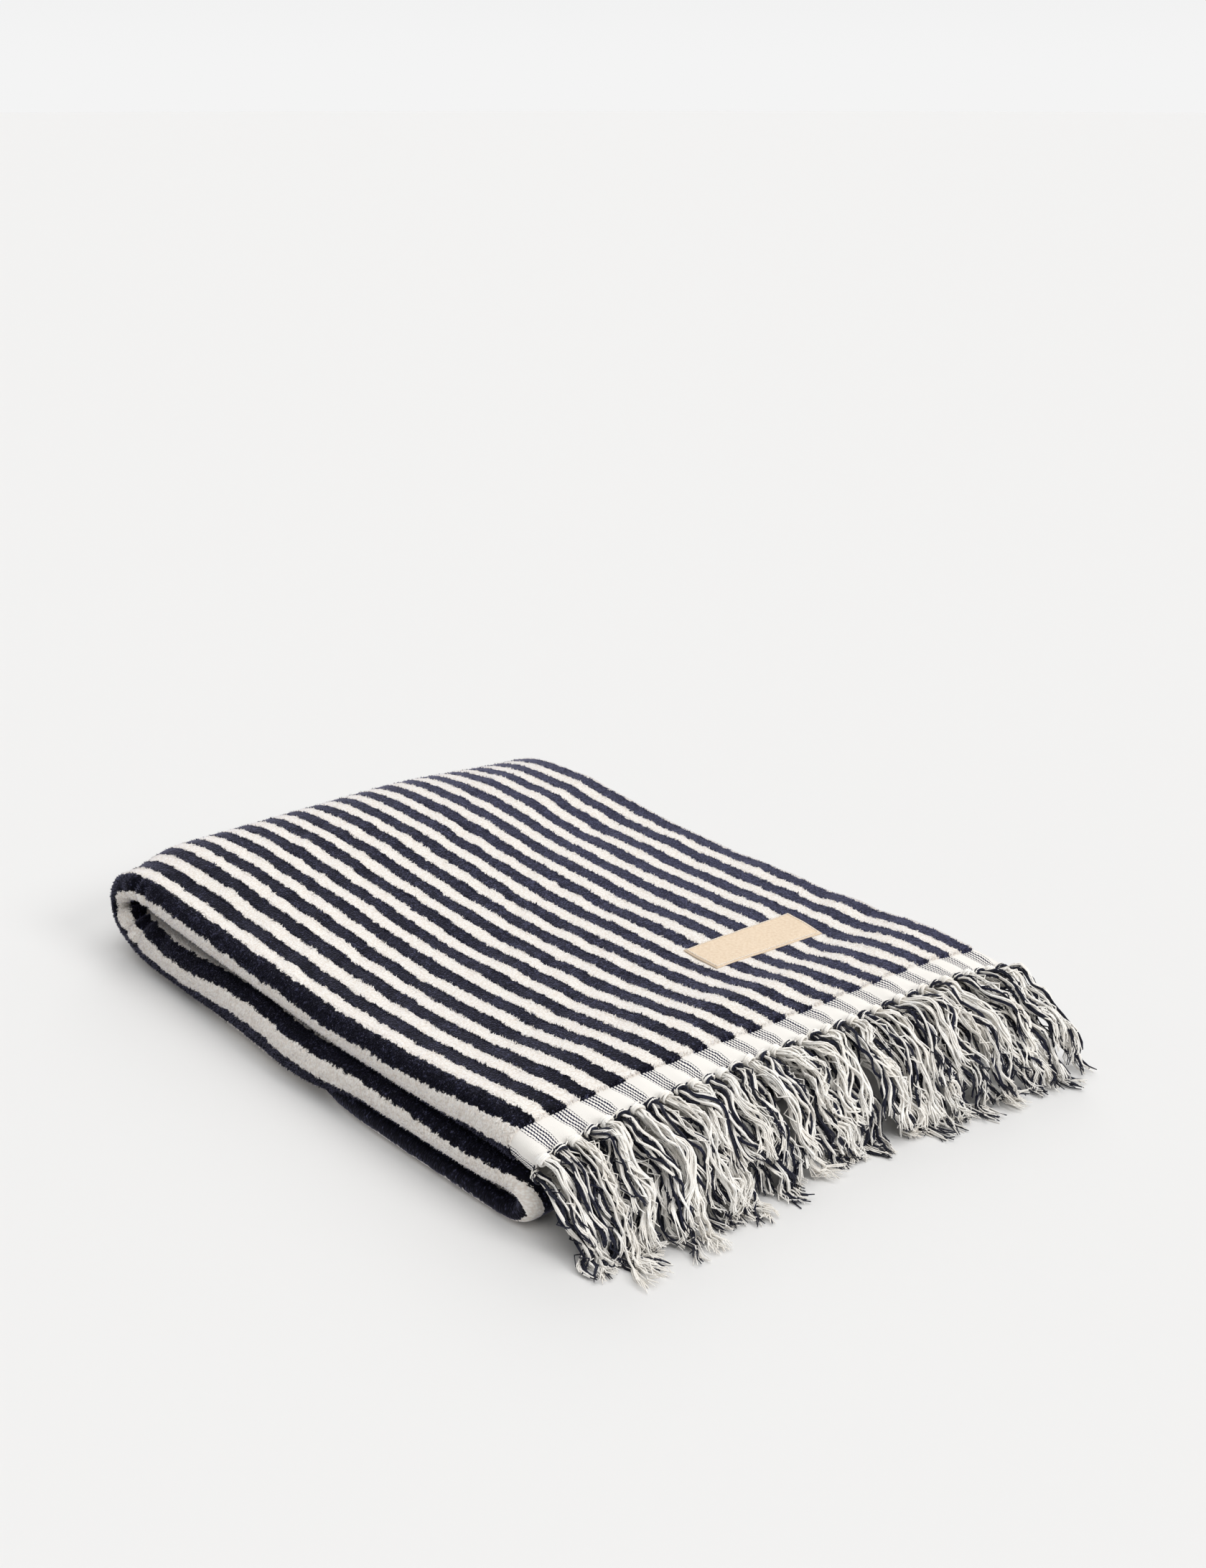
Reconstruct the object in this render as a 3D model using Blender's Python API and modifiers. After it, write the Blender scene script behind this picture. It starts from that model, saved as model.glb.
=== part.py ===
"""Striped beach towel with knotted fringes, folded and lying flat.

The towel is a velour sheet with lengthwise stripes. It is folded in half along its length, so that
the fold (the "nose") lies at the front, and the doubled cloth is then folded back and forth in three
panels: top, middle and bottom. Units are metres, +Z is up, +X runs along the stripes towards the
fringed end and +Y from the front nose to the open selvages at the back.

Every point of the cloth has two flat coordinates: s runs along the folded panels from the fringed
end on top to the fringed end below, and t runs across the towel from the middle cream stripe,
positive on sheet A (the outer face of the top panel) and negative on sheet B (its inner face).
"""
from bisect import bisect_right
from math import atan2, cos, hypot, pi, sin

import bmesh
import bpy
from mathutils import Vector

# Driving dimensions
FLAT_WIDTH = 1.000          # selvage to selvage, opened out
STRIPE = 0.014              # one navy or one cream stripe
PILE_CLOTH = 0.006          # velour sheet, pile tip to pile tip
HEADER_CLOTH = 0.0025       # flat-woven band without pile
HEADER = 0.030              # depth of that band at either end
GAP = 0.0003                # between pieces that lie on each other

KNOTS = 35                  # knots on either side of the middle one, one for each stripe
STRIP_DEPTH = 0.0045        # knotted strip at the cloth's end
LOCK_ROOT = 0.0090          # width of a lock where it leaves its knot
LOCK_WIDTH = 0.0082         # width and thickness of a hanging lock
LOCK_THICK = 0.0050
LOCK_TIP = 0.0060           # width of its cut end

LABEL_SIZE = (0.046, 0.122)         # along and across the stripes
LABEL_CENTRE = (0.1225, 0.118)      # on the top panel
LABEL_TURN = 0.075                  # turned with the header, in radians
LABEL_THICK = 0.0008
LABEL_GAP = 0.0005

NOSE_DEPTH_A = 0.0125       # sheet A turns in within this, so that a thick nose sits flat on the floor
NOSE_BLEND = 0.062          # beyond the nose, the stretch in which the two sheets settle
HEADER_SKEW = 0.046         # how far the fringed end runs out of square
SKEW_FROM, SKEW_TO = -0.110, 0.240
BOW = 0.014                 # the left fold stands out less at the selvages than in the middle,
BOW_FROM, BOW_TO = 0.060, 0.260             # from one y to the other
TOP_FADE = 0.100            # before the left fold, the stretch in which the top panel's own forms end

# The folded section, from the fringed end on top to the fringed end below.
# x, z      place of the nose's centreline
# nose      half height of the nose, to the middle of the cloth
# a, b      how far sheets A and B lie from the centreline away from the nose, each to its own side
# front     how far the nose is set forward of the top panel's nose
# turn      the t that lies at the front of the nose
# bow       share of BOW
SECTION = [
    # x       z       nose    a       b        front   turn    bow
    (0.270, 0.0570, 0.0095, 0.0190, -0.0060, 0.000, 0.0000, 0.0),   # top panel, fringed end
    (0.240, 0.0640, 0.0105, 0.0140, -0.0010, 0.000, 0.0000, 0.0),
    (0.195, 0.0655, 0.0110, 0.0125, 0.0005, 0.000, 0.0000, 0.0),
    (0.135, 0.0625, 0.0110, 0.0105, 0.0025, 0.000, 0.0000, 0.0),
    (0.075, 0.0605, 0.0110, 0.0105, 0.0025, 0.000, 0.0000, 0.0),
    (-0.015, 0.0590, 0.0105, 0.0110, 0.0020, 0.000, 0.0000, 0.0),
    (-0.105, 0.0625, 0.0108, 0.0115, 0.0015, 0.000, 0.0000, 0.0),
    (-0.195, 0.0655, 0.0110, 0.0150, -0.0020, 0.000, 0.0000, 0.0),
    (-0.265, 0.0690, 0.0110, 0.0180, -0.0045, 0.000, 0.0000, 0.1),
    (-0.327, 0.0725, 0.0112, 0.0175, -0.0040, 0.001, 0.0000, 0.4),   # left fold
    (-0.365, 0.0648, 0.0100, 0.0220, -0.0080, 0.001, 0.0000, 0.9),
    (-0.3755, 0.0480, 0.0095, 0.0260, -0.0120, 0.001, 0.0000, 1.0),
    (-0.365, 0.0318, 0.0120, 0.0240, -0.0110, 0.003, 0.0000, 0.7),
    (-0.326, 0.0235, 0.0190, 0.0205, -0.0070, 0.005, -0.0010, 0.2),
    (-0.253, 0.0230, 0.0195, 0.0200, -0.0055, 0.007, -0.0015, 0.0),  # middle panel
    (-0.190, 0.0230, 0.0195, 0.0190, -0.0030, 0.008, 0.0030, 0.0),
    (-0.135, 0.0235, 0.0195, 0.0105, 0.0050, 0.010, 0.0030, 0.0),
    (-0.100, 0.0252, 0.0178, 0.0065, 0.0085, 0.010, 0.0025, 0.0),
    (-0.078, 0.0300, 0.0112, 0.0020, 0.0115, 0.008, 0.0020, 0.0),
    (-0.010, 0.0302, 0.0104, 0.0000, 0.0132, 0.008, 0.0000, 0.0),
    (0.075, 0.0312, 0.0108, 0.0007, 0.0130, 0.008, 0.0000, 0.0),
    (0.135, 0.0328, 0.0112, 0.0020, 0.0122, 0.007, 0.0015, 0.0),
    (0.195, 0.0352, 0.0104, 0.0042, 0.0112, 0.006, 0.0025, 0.0),
    (0.233, 0.0370, 0.0082, 0.0065, 0.0090, 0.004, 0.0030, 0.0),     # right fold
    (0.2433, 0.0327, 0.0076, 0.0068, 0.0080, 0.003, 0.0035, 0.0),
    (0.2475, 0.0225, 0.0070, 0.0074, 0.0070, 0.002, 0.0050, 0.0),
    (0.2433, 0.0122, 0.0060, 0.0082, 0.0058, 0.003, 0.0070, 0.0),
    (0.233, 0.0080, 0.0050, 0.0088, 0.0050, 0.004, 0.0085, 0.0),
    (0.180, 0.0076, 0.0046, 0.0092, 0.0046, 0.006, 0.0095, 0.0),     # bottom panel
    (0.060, 0.0076, 0.0046, 0.0092, 0.0046, 0.008, 0.0095, 0.0),
    (-0.030, 0.0076, 0.0046, 0.0080, 0.0046, 0.008, 0.0095, 0.0),
    (-0.060, 0.0076, 0.0046, 0.0062, 0.0046, 0.008, 0.0095, 0.0),    # bottom fringed end
]
LEFT_FOLD_ROW = 9
NOSE_FRONT = -0.245 + PILE_CLOTH / 2        # y of the top panel's nose, to the middle of the cloth

# Soft swells in the top panel, placed by hand: centre, reach along x and y, and height.
SWELLS = [
    # x      y       along  across  height
    (0.195, -0.095, 0.135, 0.180, 0.0032),
    (0.190, 0.100, 0.108, 0.162, -0.0018),
    (0.060, -0.190, 0.162, 0.090, 0.0014),
    (0.020, 0.190, 0.144, 0.126, 0.0012),
    (-0.060, 0.020, 0.126, 0.216, -0.0012),
    (-0.150, -0.150, 0.108, 0.144, 0.0016),
    (-0.240, 0.120, 0.126, 0.162, 0.0012),
    (0.285, 0.265, 0.126, 0.094, -0.0100),      # the far corner droops
]

# Where the tips of the visible fringe lie on the floor; y is that of the lock's knot.
TIPS = [
    # y      x
    (-0.250, 0.316),
    (-0.228, 0.328),
    (-0.205, 0.348),
    (-0.150, 0.360),
    (-0.060, 0.357),
    (0.030, 0.356),
    (0.100, 0.370),
    (0.170, 0.386),
    (0.245, 0.400),
]
UNDER_SHORT = 0.032         # locks from the lower sheet end this much nearer
LOCK_FOOT = 0.018           # length of a lock that lies on the floor
LOCK_STEPS = 5
LOCK_BEND = 0.65            # how round a lock falls; 0 is a straight slope
LOCK_RAGGED = 0.005         # how unevenly they end,
RAGGED_TURN = 1.1           # in a wave of so many radians a knot
LOCK_SWAY = 0.005           # locks lean together in waves along the header
SWAY_WAVE = 0.105
SWAY_UPPER, SWAY_UNDER = 0.6, 1.3           # where the waves of the two sheets start, in radians

HIDDEN_UPPER = (0.044, 0.042)               # hidden locks: length in the air and on the floor
HIDDEN_UNDER = (0.008, 0.008)
HIDDEN_FROM = 0.080         # beyond the nose, where the hidden locks begin; nearer, there is no room

# Steps of the cloth's mesh: round each half of the nose, and from there to the selvage, as shares.
NOSE_STEPS = 4
SELVAGE_STEPS = (0.025, 0.055, 0.09, 0.14, 0.24, 0.38, 0.53, 0.68, 0.84, 1.0)
PANEL_STEP, FOLD_STEP = 0.030, 0.008       # steps along the section, in a panel and in a fold
FOLD_ROW = 0.045                           # rows of SECTION closer than this are in a fold
PROBE = 0.001                              # half the step over which slopes are measured


def ease(share):
    """A soft step from 0 to 1."""
    share = min(1.0, max(0.0, share))
    return share * share * (3 - 2 * share)


class Section:
    """A smooth curve through SECTION's rows, read by its length s."""

    def __init__(self, rows, per_row=12):
        chords = [0.0]
        for one, two in zip(rows, rows[1:]):
            chords.append(chords[-1] + hypot(two[0] - one[0], two[1] - one[1]))
        slopes = []
        for i in range(len(rows)):
            lo, hi = max(0, i - 1), min(len(rows) - 1, i + 1)
            run = chords[hi] - chords[lo]
            slopes.append([(p - q) / run for p, q in zip(rows[hi], rows[lo])])
        self.points, self.starts = [], []
        for i in range(len(rows) - 1):
            run = chords[i + 1] - chords[i]
            self.starts.append(len(self.points))
            for step in range(per_row):
                self.points.append(self.hermite(rows, slopes, i, step / per_row, run))
        self.starts.append(len(self.points))
        self.points.append(list(rows[-1]))
        self.lengths = [0.0]
        for one, two in zip(self.points, self.points[1:]):
            self.lengths.append(self.lengths[-1] + hypot(two[0] - one[0], two[1] - one[1]))

    @staticmethod
    def hermite(rows, slopes, i, u, run):
        """The curve at share u of the stretch after row i."""
        h0, h1 = 2 * u**3 - 3 * u**2 + 1, u**3 - 2 * u**2 + u
        h2, h3 = 3 * u**2 - 2 * u**3, u**3 - u**2
        ends = zip(rows[i], slopes[i], rows[i + 1], slopes[i + 1])
        return [h0 * p + h1 * run * m + h2 * q + h3 * run * n for p, m, q, n in ends]

    def total(self):
        return self.lengths[-1]

    def row_length(self, i):
        """The length s at which row i lies."""
        return self.lengths[self.starts[i]]

    def at(self, s):
        """The row's values at length s, with the unit normal that points to sheet A's side."""
        i = min(max(bisect_right(self.lengths, s) - 1, 0), len(self.points) - 2)
        run = self.lengths[i + 1] - self.lengths[i]
        u = (s - self.lengths[i]) / run
        one, two = self.points[i], self.points[i + 1]
        values = [p + (q - p) * u for p, q in zip(one, two)]
        before, after = self.points[max(0, i - 1)], self.points[min(len(self.points) - 1, i + 2)]
        dx = (two[0] - one[0]) + u * (after[0] - two[0]) + (1 - u) * (one[0] - before[0])
        dz = (two[1] - one[1]) + u * (after[1] - two[1]) + (1 - u) * (one[1] - before[1])
        size = hypot(dx, dz)
        return values, (dz / size, -dx / size)


section = Section(SECTION)
TOP_END = section.row_length(LEFT_FOLD_ROW)     # where the top panel turns into the left fold


def swell(x, y):
    """Height of the soft swells at one place of the top panel."""
    height = 0.0
    for centre_x, centre_y, along, across, tall in SWELLS:
        far = hypot((x - centre_x) / along, (y - centre_y) / across)
        height += tall * ease(1 - far)
    return height


def half_width(turn, side):
    """Cloth between the front of the nose and the selvage on one side."""
    return FLAT_WIDTH / 2 - side * turn


def nose_depth(nose, side):
    """How far the nose reaches from its front to where its sheet runs back."""
    return min(nose, NOSE_DEPTH_A) if side > 0 else nose


def nose_arc(nose, side):
    """Cloth between the front of the nose and the place where its sheet runs back."""
    return (nose + nose_depth(nose, side)) * pi / 4


def cloth_point(s, u):
    """The middle of the cloth at length s, u beyond the front of the nose, positive on sheet A."""
    (x, z, nose, a, b, front, turn, bow), (nx, nz) = section.at(s)
    side = 1 if u >= 0 else -1
    depth, arc = nose_depth(nose, side), nose_arc(nose, side)
    y = NOSE_FRONT - front
    if abs(u) < arc:
        turned = abs(u) / arc * pi / 2
        y += depth * (1 - cos(turned))
        off = side * nose * sin(turned)
    else:
        run = abs(u) - arc
        settled = ease(run / NOSE_BLEND)
        y += depth + run
        off = side * nose + ((a if side > 0 else -b) - side * nose) * settled
        off -= bow * BOW * ease((y - BOW_FROM) / (BOW_TO - BOW_FROM))
    on_top = ease((TOP_END - s) / TOP_FADE)
    lift = swell(x, y) * on_top * ease((abs(u) - arc) / NOSE_BLEND)
    skew = HEADER_SKEW * y * on_top * ease((x - SKEW_FROM) / (SKEW_TO - SKEW_FROM))
    return Vector((x + nx * off + skew, y, z + nz * off + lift))


def beyond(s, u):
    """cloth_point, carried straight on past either fringed end."""
    inside = min(max(s, 0.0), section.total())
    here = cloth_point(inside, u)
    if s == inside:
        return here
    back = STRIP_DEPTH if s < 0 else -STRIP_DEPTH
    return here + (here - cloth_point(inside + back, u)) * (abs(s - inside) / STRIP_DEPTH)


def cloth_normal(s, u):
    """Unit normal of the cloth, away from the inside of the half fold."""
    along = beyond(s + PROBE, u) - beyond(s - PROBE, u)
    across = beyond(s, u + PROBE) - beyond(s, u - PROBE)
    return across.cross(along).normalized()


def rows_of_cloth():
    """The lengths s of the mesh's rows: the header bands, the panels and the tighter folds."""
    rows = [0.0, HEADER / 2]
    for i in range(1, len(SECTION) - 1):
        start, end = section.row_length(i), section.row_length(i + 1)
        longest = PANEL_STEP if end - start > FOLD_ROW else FOLD_STEP
        steps = max(1, round((end - start) / longest))
        rows += [start + (end - start) * k / steps for k in range(steps)]
    rows.append(section.total())
    return rows


def columns_of_cloth(s):
    """The u of the mesh's columns at length s, from sheet B's selvage to sheet A's."""
    values, _ = section.at(s)
    nose, turn = values[2], values[6]
    columns = [0.0]
    for side in (1, -1):
        arc = nose_arc(nose, side)
        columns += [side * arc * k / NOSE_STEPS for k in range(1, NOSE_STEPS + 1)]
        columns += [side * (arc + share * (half_width(turn, side) - arc)) for share in SELVAGE_STEPS]
    return sorted(columns)


def material(name, colour, roughness):
    made = bpy.data.materials.new(name)
    made.use_nodes = True
    shader = made.node_tree.nodes["Principled BSDF"]
    shader.inputs["Base Color"].default_value = (*colour, 1)
    shader.inputs["Roughness"].default_value = roughness
    shader.inputs["Metallic"].default_value = 0.0
    return made


def add_object(name, mesh, finish, collection):
    made = bpy.data.objects.new(name, mesh)
    made.data.materials.append(finish)
    collection.objects.link(made)
    return made


def build_cloth(finish, collection):
    """The whole towel as one sheet: a grid laid on its folds, then given its thickness."""
    rows = rows_of_cloth()
    columns = len(columns_of_cloth(0.0))
    shape = bmesh.new()
    bmesh.ops.create_grid(shape, x_segments=columns - 1, y_segments=len(rows) - 1, size=1.0)
    depth = shape.verts.layers.deform.verify()
    for vert in shape.verts:
        column = round((vert.co.x + 1) / 2 * (columns - 1))
        s = rows[round((vert.co.y + 1) / 2 * (len(rows) - 1))]
        vert.co = cloth_point(s, columns_of_cloth(s)[column])
        to_end = min(s, section.total() - s)
        vert[depth][0] = 1.0 if to_end > HEADER * 0.99 else 0.0
    mesh = bpy.data.meshes.new("towel_cloth")
    shape.to_mesh(mesh)
    shape.free()
    cloth = add_object("towel_cloth", mesh, finish, collection)
    cloth.vertex_groups.new(name="pile")
    wall = cloth.modifiers.new("thickness", "SOLIDIFY")
    wall.thickness = PILE_CLOTH
    wall.offset = 0.0
    wall.use_even_offset = True
    wall.vertex_group = "pile"
    wall.thickness_vertex_group = HEADER_CLOTH / PILE_CLOTH
    return cloth


def knotted_strip(shape, s_end, outward, edges):
    """Lays a closed strip along a fringed end, split crosswise at the given edges."""
    bmesh.ops.create_grid(shape, x_segments=len(edges) - 1, y_segments=1, size=1.0)
    bmesh.ops.solidify(shape, geom=shape.faces[:], thickness=1.0)
    middle = sum(v.co.z for v in shape.verts) / len(shape.verts)
    for vert in shape.verts:
        u = edges[round((vert.co.x + 1) / 2 * (len(edges) - 1))]
        near_cloth = vert.co.y * outward < 0
        s = s_end + outward * (GAP if near_cloth else GAP + STRIP_DEPTH)
        over = 1 if vert.co.z > middle else -1
        vert.co = beyond(s, u) + cloth_normal(s_end, u) * (over * HEADER_CLOTH / 2)
    bmesh.ops.recalc_face_normals(shape, faces=shape.faces[:])


def tip_line(y):
    """x of the fringe's tips beside the knot at y."""
    for (y1, x1), (y2, x2) in zip(TIPS, TIPS[1:]):
        if y < y2:
            break
    return x1 + (x2 - x1) * (y - y1) / (y2 - y1)


def hanging_lock(root, u):
    """Places along one lock of the visible fringe, from its knot to its tip on the floor."""
    knot = round(u / STRIPE)
    upper = knot > 0
    rest = LOCK_THICK / 2
    tip = tip_line(root.y) + LOCK_RAGGED * cos(RAGGED_TURN * knot) - (0.0 if upper else UNDER_SHORT)
    reach = tip - LOCK_FOOT - root.x
    sway = LOCK_SWAY * sin(2 * pi * root.y / SWAY_WAVE + (SWAY_UPPER if upper else SWAY_UNDER))
    places = []
    for step in range(1, LOCK_STEPS):
        share = step / (LOCK_STEPS - 1)
        out = (1 - LOCK_BEND) * share + LOCK_BEND * sin(share * pi / 2)
        down = cos(share * pi / 2)
        places.append(Vector((root.x + reach * out, root.y + sway * share, rest + (root.z - rest) * down)))
    places.append(places[-1] + Vector((LOCK_FOOT, sway / 2, 0.0)))
    return places


def lying_lock(root, u):
    """Places along one lock of the hidden fringe, which lies level on the floor."""
    rest = LOCK_THICK / 2
    drop, flat = HIDDEN_UNDER if u < 0 else HIDDEN_UPPER
    first = Vector((root.x - drop, root.y, rest))
    return [first, first - Vector((flat, 0.0, 0.0))]


def pull_lock(shape, face, u, places):
    """Extrudes one outer face of the strip through the places of a lock."""
    out = face.normal.copy()
    root = face.calc_center_median()
    over = cloth_normal(0.0 if out.x > 0 else section.total(), u)
    across = over.cross(out)
    root_turn = atan2(across.z, across.y)
    flat_turn = 0.0 if cos(root_turn) >= 0 else (pi if root_turn > 0 else -pi)
    signs = []
    for vert in face.verts:
        way = vert.co - root
        signs.append((1 if way.dot(across) > 0 else -1, 1 if way.dot(over) > 0 else -1))
    before = root
    for step, place in enumerate(places):
        face = bmesh.ops.extrude_discrete_faces(shape, faces=[face])["faces"][0]
        last = step == len(places) - 1
        ahead = (place - before if last else places[step + 1] - before).normalized()
        turned = root_turn + (flat_turn - root_turn) * ease((step + 1) / 2)
        side = Vector((0.0, cos(turned), sin(turned)))
        side = (side - ahead * side.dot(ahead)).normalized()
        up = ahead.cross(side)
        width, thick = (LOCK_TIP, LOCK_THICK) if last else (LOCK_WIDTH, LOCK_THICK)
        for vert, (left, high) in zip(face.verts, signs):
            vert.co = place + side * (left * width / 2) + up * (high * thick / 2)
        before = place


def build_fringe(name, s_end, outward, places_of, first_u, finish, collection):
    """A knotted strip along one fringed end, with a lock pulled out of its outer side at each knot.

    Knots nearer the nose than first_u have no lock.
    """
    turn = section.at(s_end)[0][6]
    knots = [knot * STRIPE - turn for knot in range(-KNOTS, KNOTS + 1)]
    edges = [u + half for u in knots for half in (-LOCK_ROOT / 2, LOCK_ROOT / 2)]
    shape = bmesh.new()
    knotted_strip(shape, s_end, outward, edges)
    outer = {}
    for face in shape.faces:
        middle = face.calc_center_median()
        for u in knots:
            if (middle - beyond(s_end + outward * (GAP + STRIP_DEPTH), u)).length < STRIP_DEPTH / 8:
                outer[u] = face
    for u, face in outer.items():
        if abs(u) >= first_u:
            pull_lock(shape, face, u, places_of(face.calc_center_median(), u))
    bmesh.ops.recalc_face_normals(shape, faces=shape.faces[:])
    mesh = bpy.data.meshes.new(name)
    shape.to_mesh(mesh)
    shape.free()
    return add_object(name, mesh, finish, collection)


def build_label(finish, collection):
    """The bare sewn patch, a thin plate that follows the top panel."""
    shape = bmesh.new()
    bmesh.ops.create_grid(shape, x_segments=4, y_segments=8, size=0.5)
    for vert in shape.verts:
        along, across = vert.co.x * LABEL_SIZE[0], vert.co.y * LABEL_SIZE[1]
        x = LABEL_CENTRE[0] + along * cos(LABEL_TURN) + across * sin(LABEL_TURN)
        y = LABEL_CENTRE[1] - along * sin(LABEL_TURN) + across * cos(LABEL_TURN)
        vert.co = on_top_panel(x, y)
    mesh = bpy.data.meshes.new("label")
    shape.to_mesh(mesh)
    shape.free()
    label = add_object("label", mesh, finish, collection)
    wall = label.modifiers.new("thickness", "SOLIDIFY")
    wall.thickness = LABEL_THICK
    wall.offset = 0.0
    return label


def on_top_panel(x, y):
    """The label's middle over one place of the top panel."""
    nose = section.at(TOP_END / 3)[0][2]
    u = y - NOSE_FRONT - nose_depth(nose, 1) + nose_arc(nose, 1)
    lo, hi = 0.0, TOP_END
    for _ in range(30):
        s = (lo + hi) / 2
        if cloth_point(s, u).x > x:
            lo = s
        else:
            hi = s
    return cloth_point(s, u) + cloth_normal(s, u) * (PILE_CLOTH / 2 + LABEL_GAP + LABEL_THICK / 2)


def build():
    for old in list(bpy.data.objects):
        bpy.data.objects.remove(old, do_unlink=True)
    towel = bpy.data.collections.new("beach_towel")
    bpy.context.scene.collection.children.link(towel)
    velour = material("cotton velour", (0.33, 0.34, 0.40), 0.95)
    yarn = material("twisted cotton yarn", (0.62, 0.60, 0.57), 0.90)
    canvas = material("cotton canvas", (0.83, 0.67, 0.49), 0.85)
    build_cloth(velour, towel)
    build_fringe("fringe_top", 0.0, -1, hanging_lock, 0.0, yarn, towel)
    build_fringe("fringe_hidden", section.total(), 1, lying_lock, HIDDEN_FROM, yarn, towel)
    build_label(canvas, towel)


build()
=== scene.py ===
"""The looks of a striped beach towel with knotted fringes, folded and lying on the floor.

The towel is one velour sheet, folded in half along its length and then back and forth in three
panels. Units are metres, +Z is up, +X runs along the stripes to the fringed end that shows and +Y
from the front fold (the "nose") to the selvages at the back.

A point of the cloth has two flat coordinates: s runs along the folded panels from the fringed end
on top, and t across the towel from its middle cream stripe, positive on the outer face of the top
panel (sheet A) and negative on its inner face (sheet B).
"""

from math import cos, hypot, pi, radians, sin
from random import Random

import bmesh
import bpy
import numpy as np
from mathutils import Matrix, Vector


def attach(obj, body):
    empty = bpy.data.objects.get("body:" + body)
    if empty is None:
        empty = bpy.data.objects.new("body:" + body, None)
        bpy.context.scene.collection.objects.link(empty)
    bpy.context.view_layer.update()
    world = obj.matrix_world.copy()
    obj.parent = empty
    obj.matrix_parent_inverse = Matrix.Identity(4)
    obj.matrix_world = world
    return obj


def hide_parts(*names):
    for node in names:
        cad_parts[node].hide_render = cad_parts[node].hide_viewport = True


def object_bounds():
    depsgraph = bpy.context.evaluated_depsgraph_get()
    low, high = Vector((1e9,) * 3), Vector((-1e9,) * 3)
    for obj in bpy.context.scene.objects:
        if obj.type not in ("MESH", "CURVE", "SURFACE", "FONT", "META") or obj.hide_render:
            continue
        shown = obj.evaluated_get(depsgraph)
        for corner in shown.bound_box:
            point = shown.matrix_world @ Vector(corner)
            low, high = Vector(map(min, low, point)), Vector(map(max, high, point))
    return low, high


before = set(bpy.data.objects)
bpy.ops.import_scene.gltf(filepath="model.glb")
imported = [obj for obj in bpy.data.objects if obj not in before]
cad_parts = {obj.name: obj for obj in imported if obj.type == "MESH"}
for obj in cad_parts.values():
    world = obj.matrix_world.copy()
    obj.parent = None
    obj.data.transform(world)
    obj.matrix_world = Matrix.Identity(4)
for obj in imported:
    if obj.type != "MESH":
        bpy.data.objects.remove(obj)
cad_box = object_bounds()
FLOOR = cad_box[0][2]

# ---------------------------------------------------------------- the towel's own sizes, in metres
STRIPE = 0.014              # one navy or one cream stripe
PILE_CLOTH = 0.006          # velour, pile tip to pile tip
CREAM_HALF = 0.0066         # half a cream stripe as it shows, since navy pile spreads over it
TUFT_ALONG, TUFT_ACROSS = 0.0013, 0.00215   # from tuft to tuft
TUFT_ROOT = 0.0006          # how deep the root of a tuft sits in the pile
NOSE_TUFTS_TO = 0.0245      # t up to which tufts stand all over
HEADER_CLOTH = 0.0025       # the flat-woven band at either end
HEADER = 0.030              # its depth
KNOTS = 35                  # knots on either side of the middle one, one for each stripe
NOSE_DEPTH_A = 0.0125       # sheet A turns in within this
NOSE_BLEND = 0.062          # beyond the nose, the stretch in which the two sheets settle
HEADER_SKEW = 0.046         # how far the fringed end runs out of square
SKEW_FROM, SKEW_TO = -0.110, 0.240
BOW = 0.014                 # the left fold stands out less at the selvages than in the middle,
BOW_FROM, BOW_TO = 0.060, 0.260
TOP_FADE = 0.100            # before the left fold, the stretch in which the top panel's own forms end
NOSE_FRONT = -0.245 + PILE_CLOTH / 2

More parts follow.
